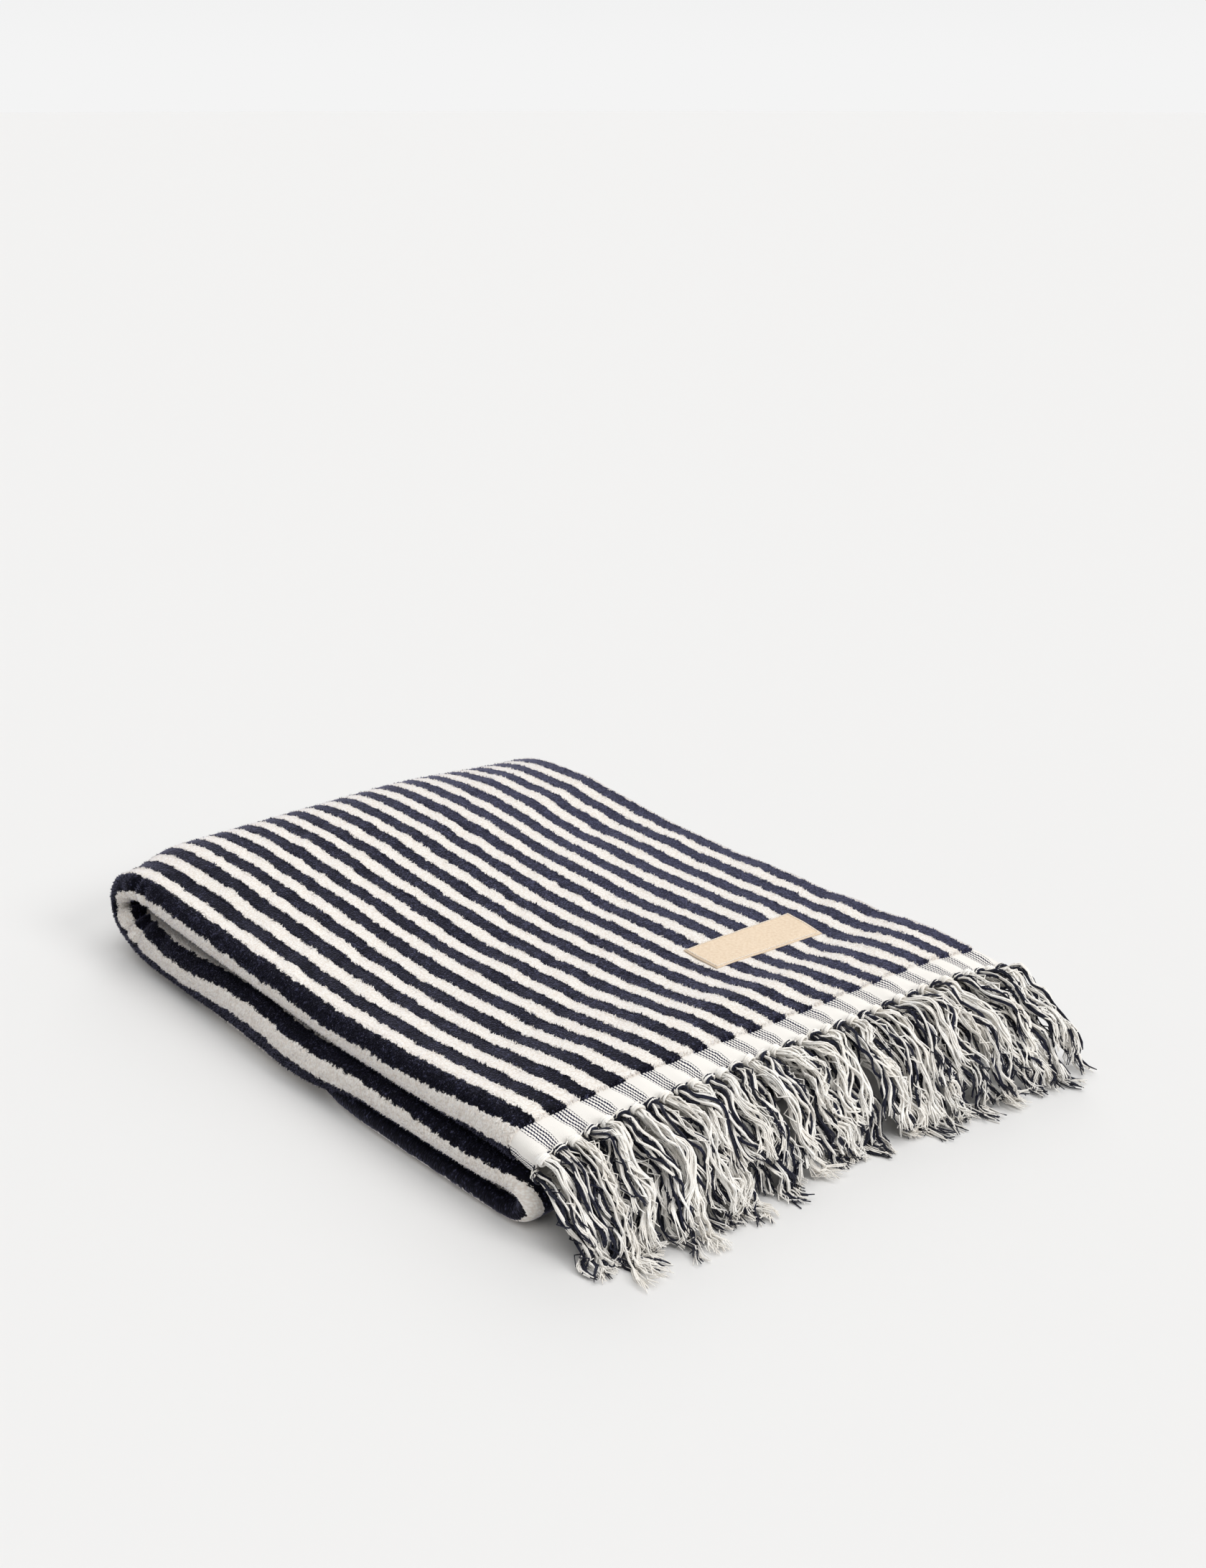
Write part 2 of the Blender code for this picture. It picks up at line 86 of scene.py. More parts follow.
# The folded section, from the fringed end on top to the fringed end below: place of the nose's
# centreline, half height of the nose, distance of sheets A and B from the centreline away from the
# nose, how far the nose is set forward, the t at its front, and the share of BOW.
SECTION = [
    # x       z       nose    a       b        front   turn    bow
    (0.270, 0.0555, 0.0120, 0.0190, -0.0060, 0.000, -0.0105, 0.0),   # top panel, fringed end
    (0.240, 0.0618, 0.0130, 0.0140, -0.0010, 0.000, -0.0070, 0.0),
    (0.195, 0.0630, 0.0133, 0.0125, 0.0005, 0.000, -0.0028, 0.0),
    (0.135, 0.0605, 0.0127, 0.0105, 0.0025, 0.000, 0.0005, 0.0),
    (0.075, 0.0597, 0.0117, 0.0105, 0.0025, 0.000, 0.0026, 0.0),
    (-0.015, 0.0590, 0.0107, 0.0110, 0.0020, 0.000, 0.0038, 0.0),
    (-0.105, 0.0625, 0.0108, 0.0115, 0.0015, 0.000, 0.0036, 0.0),
    (-0.195, 0.0655, 0.0110, 0.0150, -0.0020, 0.000, 0.0028, 0.0),
    (-0.265, 0.0690, 0.0110, 0.0180, -0.0045, 0.000, 0.0030, 0.1),
    (-0.327, 0.0725, 0.0112, 0.0175, -0.0040, 0.001, 0.0048, 0.4),   # left fold
    (-0.365, 0.0648, 0.0100, 0.0220, -0.0080, 0.001, 0.0085, 0.9),
    (-0.3755, 0.0480, 0.0095, 0.0260, -0.0120, 0.001, 0.0105, 1.0),
    (-0.365, 0.0318, 0.0120, 0.0240, -0.0110, 0.003, 0.0092, 0.7),
    (-0.326, 0.0235, 0.0190, 0.0205, -0.0070, 0.005, 0.0052, 0.2),
    (-0.253, 0.0230, 0.0195, 0.0200, -0.0055, 0.007, 0.0008, 0.0),  # middle panel
    (-0.190, 0.0230, 0.0195, 0.0190, -0.0030, 0.008, 0.0048, 0.0),
    (-0.135, 0.0230, 0.0195, 0.0105, 0.0050, 0.010, 0.0085, 0.0),
    (-0.100, 0.0226, 0.0193, 0.0065, 0.0085, 0.012, 0.0095, 0.0),
    (-0.060, 0.0218, 0.0186, 0.0030, 0.0100, 0.0134, 0.0080, 0.0),
    (-0.025, 0.0226, 0.0170, 0.0010, 0.0120, 0.0128, 0.0056, 0.0),
    (0.010, 0.0258, 0.0142, 0.0000, 0.0130, 0.0105, 0.0034, 0.0),
    (0.040, 0.0290, 0.0118, 0.0000, 0.0132, 0.008, 0.0016, 0.0),
    (0.080, 0.0310, 0.0108, 0.0007, 0.0130, 0.008, 0.0000, 0.0),
    (0.135, 0.0318, 0.0108, 0.0020, 0.0122, 0.007, -0.0010, 0.0),
    (0.195, 0.0330, 0.0096, 0.0042, 0.0112, 0.006, -0.0022, 0.0),
    (0.233, 0.0345, 0.0080, 0.0065, 0.0090, 0.004, -0.0010, 0.0),     # right fold
    (0.2433, 0.0305, 0.0074, 0.0068, 0.0080, 0.003, 0.0035, 0.0),
    (0.2475, 0.0215, 0.0068, 0.0074, 0.0070, 0.002, 0.0085, 0.0),
    (0.2433, 0.0122, 0.0060, 0.0082, 0.0058, 0.002, 0.0105, 0.0),
    (0.233, 0.0080, 0.0050, 0.0088, 0.0050, 0.003, 0.0103, 0.0),
    (0.205, 0.0076, 0.0047, 0.0090, 0.0048, 0.005, 0.0092, 0.0),
    (0.170, 0.0076, 0.0046, 0.0092, 0.0046, 0.006, 0.0095, 0.0),     # bottom panel
    (0.080, 0.0076, 0.0046, 0.0092, 0.0046, 0.008, 0.0095, 0.0),
    (0.045, 0.0076, 0.0046, 0.0088, 0.0046, 0.008, 0.0095, 0.0),
    (0.010, 0.0076, 0.0046, 0.0082, 0.0046, 0.006, 0.0095, 0.0),
    (-0.025, 0.0076, 0.0046, 0.0072, 0.0046, 0.000, 0.0095, 0.0),
    (-0.060, 0.0076, 0.0046, 0.0062, 0.0046, -0.006, 0.0095, 0.0),   # bottom fringed end
]
LEFT_FOLD_ROW, RIGHT_FOLD_ROW = 9, 25

# Soft swells in the top panel: centre, reach along x and y, height.
SWELLS = [
    # x      y       along  across  height
    (0.195, -0.095, 0.135, 0.180, 0.0032),
    (0.190, 0.100, 0.108, 0.162, -0.0018),
    (0.060, -0.190, 0.162, 0.090, 0.0014),
    (0.020, 0.190, 0.144, 0.126, 0.0012),
    (-0.060, 0.020, 0.126, 0.216, -0.0012),
    (-0.150, -0.150, 0.108, 0.144, 0.0016),
    (-0.240, 0.120, 0.126, 0.162, 0.0012),
    (0.285, 0.265, 0.126, 0.094, -0.0100),      # the far corner droops
]
# Shallow ripples of sheet A in the top panel, as the stripes show them.
RIPPLES = [
    # x      y       along  across  height
    (-0.165, 0.175, 0.075, 0.120, -0.0036),
    (-0.325, 0.160, 0.055, 0.075, 0.0032),
    (-0.340, -0.060, 0.050, 0.070, -0.0020),
    (0.025, 0.232, 0.045, 0.040, 0.0022),
    (-0.085, 0.095, 0.045, 0.050, 0.0014),
    (0.160, 0.160, 0.050, 0.110, -0.0030),
    (0.110, 0.045, 0.050, 0.045, -0.0018),
    (0.195, 0.035, 0.030, 0.090, 0.0024),
    (0.050, -0.180, 0.080, 0.050, -0.0018),
    (-0.060, -0.200, 0.090, 0.035, 0.0014),
    (-0.110, 0.245, 0.030, 0.040, -0.0016),
    (0.120, 0.240, 0.030, 0.035, 0.0014),
    (0.060, -0.090, 0.090, 0.050, 0.0012),
    (-0.180, -0.060, 0.070, 0.060, -0.0012),
]
# Low waves of the top panel that slant across the stripes, and how their crests bend.
WAVES = [
    # height  slant  pitch  bend slant pitch
    (0.00042, 0.35, 0.073, 4.0, 0.4, 0.23),
    (0.00048, -0.55, 0.104, 3.2, 1.0, 0.31),
    (0.00022, 1.1, 0.041, 3.6, -1.0, 0.17),
]
# Creases of the left fold and the nose, as troughs and ridges across the cloth: the place of the
# nose's centreline beside them, their t, half reach along s and t, lean, and height.
CREASES = [
    # x       z       t       along   across  lean   height
    (-0.3115, 0.0700, -0.004, 0.0050, 0.0220, 0.20, -0.0050),
    (-0.3330, 0.0725, -0.002, 0.0046, 0.0280, -0.15, -0.0066),
    (-0.3520, 0.0690, -0.008, 0.0046, 0.0190, 0.10, -0.0056),
    (-0.3755, 0.0480, -0.010, 0.0050, 0.0190, 0.00, -0.0066),
    (-0.3720, 0.0385, -0.010, 0.0048, 0.0190, -0.10, -0.0062),
    (-0.3450, 0.0270, -0.010, 0.0052, 0.0190, -0.20, -0.0062),
    (-0.3260, 0.0235, -0.008, 0.0052, 0.0200, -0.10, -0.0056),
    (-0.2900, 0.0235, -0.018, 0.0100, 0.0140, 0.60, -0.0016),
]

# Where the tips of the visible fringe lie on the floor; y is that of the lock's knot.
TIPS = [
    # y      x
    (-0.250, 0.325),
    (-0.228, 0.336),
    (-0.205, 0.348),
    (-0.150, 0.360),
    (-0.060, 0.357),
    (0.030, 0.356),
    (0.100, 0.370),
    (0.170, 0.386),
    (0.245, 0.400),
]
YARN = 0.00062              # radius of a fringe yarn
STRANDS = 6                 # strands in a bundle, each of several yarns
YARNS_AT_KNOT, YARNS_BETWEEN = 34, 24
KNOT_THREAD, RUNNING_THREAD = 0.00125, 0.00068      # radii
KNOT_TURNS, KNOT_FLATNESS = 1.06, 0.72      # of each thread wound round a knot
PLY_PITCH, PLY_OFF = 0.0068, 0.0007         # the running thread's twist, and each ply off its middle
FALL_LEVEL = 0.0030         # the middle of a bundle over the floor that it lies on
FALL_SHORT, FALL_ON = 0.018, 0.06   # it comes down this far before the tips, and runs on past them
# Half width and thickness of a bundle as it leaves its knot, and what the thickness gains as it
# opens and at the cut end.
LEAVES_WIDE, LEAVES_THICK, OPENS_THICK, ENDS_THICK = 0.0024, 0.0021, 0.0024, 0.0012
STRAND_HALF = 0.0010        # half a strand
STRAYS_ASIDE, STRAYS_UP = 0.0032, 0.0026    # how far a single yarn strays at its cut end
CURLED_SHARE = 0.06         # of the yarns, which curl by CURL; the others only crimp
CURL, CRIMP, CRIMP_PITCH = (0.0022, 0.0046), (0.0, 0.0003), (0.012, 0.022)
# Bundles that lie apart from the rest, by their knot: length, swing, lean, flare and phase.
LOOSE_ONES = {
    0: (0.094, 0.16, 0.14, 0.0045, 1.0),
    1: (0.104, 0.20, 0.02, 0.0062, 2.6),
    2: (0.134, 0.14, -0.04, 0.0150, 0.4),
}

HIDDEN_FROM = 0.080         # the bottom fringe is tucked in nearer to the nose than this
HIDDEN_UPPER, HIDDEN_UNDER = 0.086, 0.016   # how far it lies out on either sheet

LABEL_SIZE = (0.046, 0.122)         # along and across the stripes
LABEL_CENTRE = (0.1225, 0.118)      # x and y on the top panel
LABEL_TURN = 0.075                  # in radians, turned with the fringed end
LABEL_THICK = 0.0006
LABEL_GAP = 0.0001                  # between the label and the pile's tips at its corners
LABEL_LIFT = 0.0007                 # what its own stiffness adds to that
STITCH_INSET, STITCH_PITCH, STITCH_THREAD = 0.0022, 0.0034, 0.00032
# One stitch: the share of its pitch, and the height over the canvas.
STITCH_ARCH = ((0.12, 0.0008), (0.3, 0.0013), (0.5, 0.00145), (0.7, 0.0013), (0.88, 0.0008))

PHOTO_HEIGHT, PHOTO_FOCAL = 2185, 2600      # height and focal length in the photo's pixels


# ---------------------------------------------------------------- where the cloth lies

def ease(share):
    """A soft step from 0 to 1, of one number or of many."""
    share = np.clip(share, 0.0, 1.0)
    return share * share * (3 - 2 * share)


def run_along(points):
    """The length of a line up to each of its points."""
    return np.concatenate([[0.0], np.cumsum(np.linalg.norm(np.diff(points, axis=0), axis=1))])


class Section:
    """A smooth curve through SECTION's rows, read by its length s."""

    def __init__(self, rows, per_row=12):
        rows = np.array(rows)
        chords = run_along(rows[:, :2])
        last = len(rows) - 1
        here = np.arange(last + 1)
        before, after = np.maximum(here - 1, 0), np.minimum(here + 1, last)
        slopes = (rows[after] - rows[before]) / (chords[after] - chords[before])[:, None]
        u = np.arange(per_row)[:, None] / per_row
        spans = []
        for i in range(last):
            run = chords[i + 1] - chords[i]
            spans.append((2 * u**3 - 3 * u**2 + 1) * rows[i] + (u**3 - 2 * u**2 + u) * run * slopes[i]
                         + (3 * u**2 - 2 * u**3) * rows[i + 1] + (u**3 - u**2) * run * slopes[i + 1])
        self.points = np.vstack(spans + [rows[last:]])
        self.lengths = run_along(self.points[:, :2])
        self.per_row = per_row

    def total(self):
        return self.lengths[-1]

    def row_length(self, i):
        """The length s at which row i lies."""
        return self.lengths[i * self.per_row]

    def beside(self, x, z):
        """The length s at which the centreline passes nearest to a place."""
        return self.lengths[np.argmin(np.hypot(self.points[:, 0] - x, self.points[:, 1] - z))]

    def at(self, s):
        """The row's values at length s, with the unit normal that points to sheet A's side."""
        last = len(self.points) - 1
        i = min(max(int(np.searchsorted(self.lengths, s, side="right")) - 1, 0), last - 1)
        u = (s - self.lengths[i]) / (self.lengths[i + 1] - self.lengths[i])
        one, two = self.points[i], self.points[i + 1]
        before, after = self.points[max(0, i - 1)], self.points[min(last, i + 2)]
        ahead = (two - one) + u * (after - two) + (1 - u) * (one - before)
        size = hypot(ahead[0], ahead[1])
        return one + (two - one) * u, (ahead[1] / size, -ahead[0] / size)

    def turn(self, s):
        """The t that lies at the front of the nose."""
        return self.at(s)[0][6]


section = Section(SECTION)
TOP_END = section.row_length(LEFT_FOLD_ROW)
RIGHT_FOLD = section.row_length(RIGHT_FOLD_ROW)


def bumps(table, x, y):
    """Height of a table of soft round forms at places x, y."""
    height = 0.0
    for centre_x, centre_y, along, across, tall in table:
        height = height + tall * ease(1 - np.hypot((x - centre_x) / along, (y - centre_y) / across))
    return height


def waves(x, y):
    """Height of the waves that the top sheet keeps from being folded, at places x, y."""
    height = 0.0
    for tall, slant, pitch, bend, bend_slant, bend_pitch in WAVES:
        bent = bend * np.sin(2 * pi * (y + bend_slant * x) / bend_pitch)
        height = height + tall * np.sin(2 * pi * (x + slant * y) / pitch + bent)
    return height


def cloth_line(s, u):
    """The middle of the cloth at length s, at many places u beyond the front of the nose."""
    (x, z, nose, a, b, front, turn, bow), (nx, nz) = section.at(s)
    upper = u >= 0
    depth = np.where(upper, min(nose, NOSE_DEPTH_A), nose)
    arc = (nose + depth) * pi / 4
    side = np.where(upper, 1.0, -1.0)
    turned = np.minimum(np.abs(u) / arc, 1.0) * pi / 2
    run = np.maximum(np.abs(u) - arc, 0.0)
    y = NOSE_FRONT - front + depth * (1 - np.cos(turned)) + run
    settled = ease(run / NOSE_BLEND)
    off = side * nose * np.sin(turned) + (np.where(upper, a, -b) - side * nose) * settled
    off = off - bow * BOW * ease((y - BOW_FROM) / (BOW_TO - BOW_FROM))
    on_top = ease((TOP_END - s) / TOP_FADE)
    lift = bumps(SWELLS, x, y) * on_top * settled
    outside = ease((TOP_END - s) / 0.03) * upper
    lift = lift + bumps(RIPPLES, x, y) * outside * settled
    lift = lift + waves(x, y) * outside * ease(run / 0.012)
    skew = HEADER_SKEW * y * on_top * ease((x - SKEW_FROM) / (SKEW_TO - SKEW_FROM))
    return np.stack([x + nx * off + skew, y, z + nz * off + lift], axis=1)


def cloth_point(s, u):
    """One place of the cloth, carried straight on past either fringed end."""
    inside = min(max(s, 0.0), section.total())
    here = cloth_line(inside, np.array([u]))[0]
    if s != inside:
        back = 0.004 if s < 0 else -0.004
        here = here + (here - cloth_line(inside + back, np.array([u]))[0]) * (abs(s - inside) / 0.004)
    return Vector(here)


def cloth_normal(s, u):
    """Unit normal of the cloth, away from the inside of the half fold."""
    along = cloth_point(s + 0.001, u) - cloth_point(s - 0.001, u)
    across = cloth_point(s, u + 0.001) - cloth_point(s, u - 0.001)
    return across.cross(along).normalized()


def cloth_at(s, places):
    """The middle of the cloth at length s, at many t measured along the cloth itself."""
    u = np.concatenate([np.linspace(-0.54, -0.05, 60), np.linspace(-0.049, 0.049, 80),
                        np.linspace(0.05, 0.54, 90)])
    line = cloth_line(s, u)
    length = run_along(line)
    length = length - np.interp(0.0, u, length) + section.turn(s)
    return np.stack([np.interp(places, length, line[:, axis]) for axis in range(3)], axis=1)


def creases(s, t):
    """Height of the creases over the cloth, away from the inside of the half fold."""
    height = np.zeros_like(s)
    for x, z, middle, along, across, lean, tall in CREASES:
        ds = s - section.beside(x, z)
        dt = t - middle
        height += tall * np.exp(-((ds - lean * dt) / along) ** 2) * ease(1.25 - np.abs(dt) / across)
    return height


# ---------------------------------------------------------------- materials

def linear(code):
    """An sRGB hex colour as linear RGBA."""
    parts = [int(code[i:i + 2], 16) / 255 for i in (1, 3, 5)]
    return [p / 12.92 if p <= 0.04045 else ((p + 0.055) / 1.055) ** 2.4 for p in parts] + [1.0]


def feed(tree, node, inputs):
    """Sets a node's inputs: values as they are, and sockets as links."""
    for key, value in inputs.items():
        if isinstance(value, bpy.types.NodeSocket):
            tree.links.new(value, node.inputs[key])
        else:
            node.inputs[key].default_value = value


def add(tree, kind, inputs, **settings):
    """Adds one node with its settings."""
    node = tree.nodes.new("ShaderNode" + kind)
    for name, value in settings.items():
        setattr(node, name, value)
    feed(tree, node, inputs)
    return node


def maths(tree, operation, *inputs):
    return add(tree, "Math", dict(enumerate(inputs)), operation=operation).outputs[0]


def noise(tree, place, scale, detail, roughness=0.5):
    inputs = {"Vector": place, "Scale": scale, "Detail": detail, "Roughness": roughness}
    return add(tree, "TexNoise", inputs).outputs[0]


def sway(tree, place, scale, detail, reach):
    """Soft noise that goes to either side of nothing, by up to the reach."""
    return maths(tree, "MULTIPLY_ADD", noise(tree, place, scale, detail), 2 * reach, -reach)


def ripple(tree, place, pitch):
    """A sine wave along one coordinate."""
    return maths(tree, "SINE", maths(tree, "MULTIPLY", place, 2 * pi / pitch))


def spread(tree, value, start, end, low=0.0, high=1.0, kind="LINEAR"):
    """Low where the value is at the start of its range, and high where it is at the end."""
    inputs = {"Value": value, "From Min": start, "From Max": end, "To Min": low, "To Max": high}
    return add(tree, "MapRange", inputs, interpolation_type=kind).outputs[0]


def ramp(tree, value, stops, kind="LINEAR"):
    """Colours along a value; stops are places and linear colours."""
    node = add(tree, "ValToRGB", {0: value})
    band = node.color_ramp
    band.interpolation = kind
    band.elements[0].position, band.elements[1].position = stops[0][0], stops[-1][0]
    for place, _ in stops[1:-1]:
        band.elements.new(place)
    for stop, (_, colour) in zip(band.elements, stops):
        stop.color = colour
    return node.outputs[0]


def mix(tree, share, one, two):
    """The first colour where the share is 0, and the second where it is 1."""
    return add(tree, "Mix", {0: share, 6: one, 7: two}, data_type="RGBA").outputs[2]


def relief(tree, height, depth, strength):
    """A normal for relief of this depth in metres."""
    return add(tree, "Bump", {"Height": height, "Distance": depth, "Strength": strength}).outputs[0]


def new_material(name):
    made = bpy.data.materials.new(name)
    made.use_nodes = True
    return made, made.node_tree, made.node_tree.nodes["Principled BSDF"]


def flat_millimetres(tree):
    """The cloth's own flat coordinates in millimetres: both, along the stripes, and across them."""
    flat = add(tree, "UVMap", {}, uv_map="flat").outputs["UV"]
    scaled = add(tree, "VectorMath", {0: flat, 1: (1000, 1000, 1000)}, operation="MULTIPLY").outputs[0]
    parts = add(tree, "SeparateXYZ", {0: scaled})
    return scaled, parts.outputs["X"], parts.outputs["Y"]


def from_navy(tree, across):
    """Millimetres from the middle of the navy stripe, in the pair of stripes at this place."""
    within = maths(tree, "FLOORED_MODULO", across, 2000 * STRIPE)
    return maths(tree, "SUBTRACT", within, 1000 * STRIPE)


def cream_share(tree, across, softness):
    """1 on a cream stripe and 0 on a navy one; the middle of a cream one lies at 0."""
    from_cream = from_navy(tree, maths(tree, "ADD", across, 1000 * STRIPE))
    away = maths(tree, "ABSOLUTE", from_cream)
    edge = 1000 * CREAM_HALF
    return spread(tree, away, edge + softness, edge - softness, kind="SMOOTHSTEP")


def velour():
    """Cotton velour: cut loops stand up in rows along the stripes, matt and deep, with a pale sheen
    where the eye skims over the pile, painted sheen that grows towards the selvages, painted light on
    the tuft crowns with painted shade between them, and ragged borders between the dyed stripes."""
    made, tree, shader = new_material("yarn-dyed cotton velour")
    flat, _, across = flat_millimetres(tree)
    # Borders: single tufts lean over them by 1-2 mm, so do clumps of tufts, and the whole stripe is
    # drawn aside by about 1 mm every 30-40 mm.
    lean = maths(tree, "MULTIPLY_ADD", noise(tree, flat, 0.42, 2.5, 0.75), 6.4, -3.2)
    frayed = maths(tree, "ADD", lean, sway(tree, flat, 0.16, 0.0, 2.0))
    led = maths(tree, "ADD", across, sway(tree, flat, 0.030, 1.5, 2.5))
    share = cream_share(tree, maths(tree, "ADD", led, frayed), 0.45)
    # Tufts stand in rows along the stripe. Each has its own shade; its crown is painted paler as a
    #     painted highlight, and the gaps between tufts darker as painted shade.
    per_tuft = (0.001 / TUFT_ALONG, 0.001 / TUFT_ACROSS, 1.0)
    counted = add(tree, "Mapping", {"Vector": flat, "Scale": per_tuft}, vector_type="POINT").outputs[0]
    tufts = add(tree, "TexVoronoi", {"Vector": counted, "Scale": 1.0, "Randomness": 0.85})
    crown = spread(tree, tufts.outputs["Distance"], 0.0, 0.75, 1.0, 0.0)
    own = add(tree, "SeparateXYZ", {0: tufts.outputs["Color"]}).outputs[0]
    speck = maths(tree, "MULTIPLY", own, crown)
    # Nap: the pile leans this way and that in patches of 8-20 mm.
    brushed = spread(tree, noise(tree, flat, 0.09, 3.0, 0.6), 0.36, 0.66, 0.22, 0.95)
    # The random nap and tuft shade, times the painted highlight on the tuft crowns.
    nap_and_lit_crowns = maths(tree, "MULTIPLY", speck, brushed)
    # Painted sheen: from 40 mm off the nose out towards the selvages the navy is painted paler, as
    #     light skimming the top panel would make it; the nose and the inner sheet keep a painted shade.
    painted_sheen_to_selvages = spread(tree, across, 40.0, 400.0, 0.0, 0.28)
    navy = ramp(tree, maths(tree, "ADD", nap_and_lit_crowns, painted_sheen_to_selvages),
                [(0.0, linear("#06060F")), (0.20, linear("#121220")), (0.55, linear("#4B4D66"))])
    # Cream: a darker, warmer cream between the tufts as painted shade, and a paler one on their crowns
    # as painted light.
    cream = ramp(tree, crown, [(0.0, linear("#EAE2D9")), (0.6, linear("#FDFAF5"))])
    # Relief: tufts about 0.6 mm proud, fibres finer than that.
    fibre = noise(tree, flat, 1.6, 2.0, 0.6)
    height = maths(tree, "MULTIPLY_ADD", fibre, 0.5, crown)
    colour = mix(tree, share, navy, cream)
    feed(tree, shader, {"Base Color": colour, "Normal": relief(tree, height, 0.0006, 0.7),
                        "Roughness": 0.62, "Specular IOR Level": 0.06, "Sheen Weight": 0.70,
                        "Sheen Roughness": 0.30, "Sheen Tint": linear("#A3A4C6")})
    return made


def header_weave():
    """Flat-woven cotton band: a fine matt rib, white where the ground yarns run and with thin
    twisted navy and white lines where each navy stripe runs on."""
    made, tree, shader = new_material("flat-woven cotton band")
    flat, along, across = flat_millimetres(tree)
    # The lines run closer together at the knots than at the pile, and bend a little on their way.
    bent = maths(tree, "ADD", from_navy(tree, across), sway(tree, flat, 0.085, 1.0, 1.8))
    gathered = maths(tree, "MULTIPLY", bent, spread(tree, along, 0.0, 20.0, 1.40, 1.0))
    # Lines 2.1 mm apart and 0.9 mm wide; drawn 3.1 mm apart and 1.4 mm wide so that they show. Their
    # ply makes them zigzag by 0.3 mm every 2.4 mm.
    apart = 3.1
    zigzag = maths(tree, "MULTIPLY_ADD", ripple(tree, along, 2.4), 0.30, gathered)
    within = maths(tree, "FLOORED_MODULO", zigzag, apart)
    near = maths(tree, "ABSOLUTE", maths(tree, "SUBTRACT", within, apart / 2))
    line = spread(tree, near, 0.80, 0.60)
    inside = maths(tree, "LESS_THAN", maths(tree, "ABSOLUTE", gathered), 7.5)
    colour = mix(tree, maths(tree, "MULTIPLY", line, inside), linear("#F7F4EF"), linear("#14183A"))
    # Weft rib 1 mm apart, crossed by warp threads 0.7 mm apart.
    weave = maths(tree, "ADD", ripple(tree, along, 1.0), ripple(tree, across, 0.7))
    feed(tree, shader, {"Base Color": colour, "Normal": relief(tree, weave, 0.0002, 0.3),
                        "Roughness": 0.9, "Specular IOR Level": 0.2})
    return made


def yarn(name, dark, light):
    """Twisted cotton yarn: matt, with its plies showing as fine shade along each thread."""
    made, tree, shader = new_material(name)
    place = add(tree, "TexCoord", {}).outputs["Object"]
    grain, shade = noise(tree, place, 700.0, 2.0), noise(tree, place, 60.0, 2.0)
    colour = ramp(tree, maths(tree, "MULTIPLY", grain, shade),
                  [(0.12, linear(dark)), (0.40, linear(light))])
    feed(tree, shader, {"Base Color": colour, "Normal": relief(tree, grain, 0.0002, 0.25),
                        "Roughness": 0.85, "Specular IOR Level": 0.25, "Sheen Weight": 0.15})
    return made


def canvas():
    """Unbleached cotton canvas: a plain weave of thick natural threads, warm and matt."""
    made, tree, shader = new_material("unbleached cotton canvas")
    flat, along, across = flat_millimetres(tree)
    # Threads 0.7 mm apart both ways, drawn as 0.9 mm so that they show.
    weave = maths(tree, "MULTIPLY", ripple(tree, along, 0.9), ripple(tree, across, 0.9))
    height = maths(tree, "MULTIPLY_ADD", weave, 0.25, noise(tree, flat, 0.35, 3.0))
    colour = ramp(tree, height, [(0.2, linear("#E0C8AB")), (0.7, linear("#F2E0C9"))])
    feed(tree, shader, {"Base Color": colour, "Normal": relief(tree, height, 0.0003, 0.6),
                        "Roughness": 0.88, "Specular IOR Level": 0.2})
    return made


def matt_floor():
    """A matt white studio floor, plain all over."""
    made, tree, shader = new_material("matt white floor")
    grain = noise(tree, add(tree, "TexCoord", {}).outputs["Object"], 40.0, 3.0)
    feed(tree, shader, {"Base Color": linear("#E9E9E9"), "Normal": relief(tree, grain, 0.0002, 0.1),
                        "Roughness": 0.9, "Specular IOR Level": 0.1})
    return made


# ---------------------------------------------------------------- pieces

def add_object(name, data):
    made = bpy.data.objects.new(name, data)
    bpy.context.scene.collection.objects.link(made)
    return made


def add_piece(name, mesh, finish):
    mesh.materials.append(finish)
    made = add_object(name, mesh)
    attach(made, "root")
    return made


def mesh_of(shape, name):
    """The mesh of a finished bmesh."""
    mesh = bpy.data.meshes.new(name)
    shape.to_mesh(mesh)
    shape.free()
    return mesh


def mesh_of_object(holder, name):
    """The final mesh of a helper object, which then goes."""
    bpy.context.view_layer.update()
    ready = holder.evaluated_get(bpy.context.evaluated_depsgraph_get())
    mesh = bpy.data.meshes.new_from_object(ready)
    mesh.name = name
    mesh.materials.clear()
    bpy.data.objects.remove(holder)
    return mesh


def lay_out(shape, flat, places):
    """Smooth faces, with the flat coordinates of each place in the UV map."""
    for face in shape.faces:
        face.smooth = True
        for loop in face.loops:
            loop[flat].uv = places[loop.vert]


def thicken(piece, thickness):
    """Gives a sheet its thickness, half to either side."""
    wall = piece.modifiers.new("thickness", "SOLIDIFY")
    wall.thickness = thickness
    wall.offset = 0.0
    return wall


def grid_normals(points):
    """Unit normals of a grid of places, away from the inside of the half fold."""
    normals = np.cross(np.gradient(points, axis=1), np.gradient(points, axis=0))
    return normals / np.maximum(np.linalg.norm(normals, axis=2, keepdims=True), 1e-9)


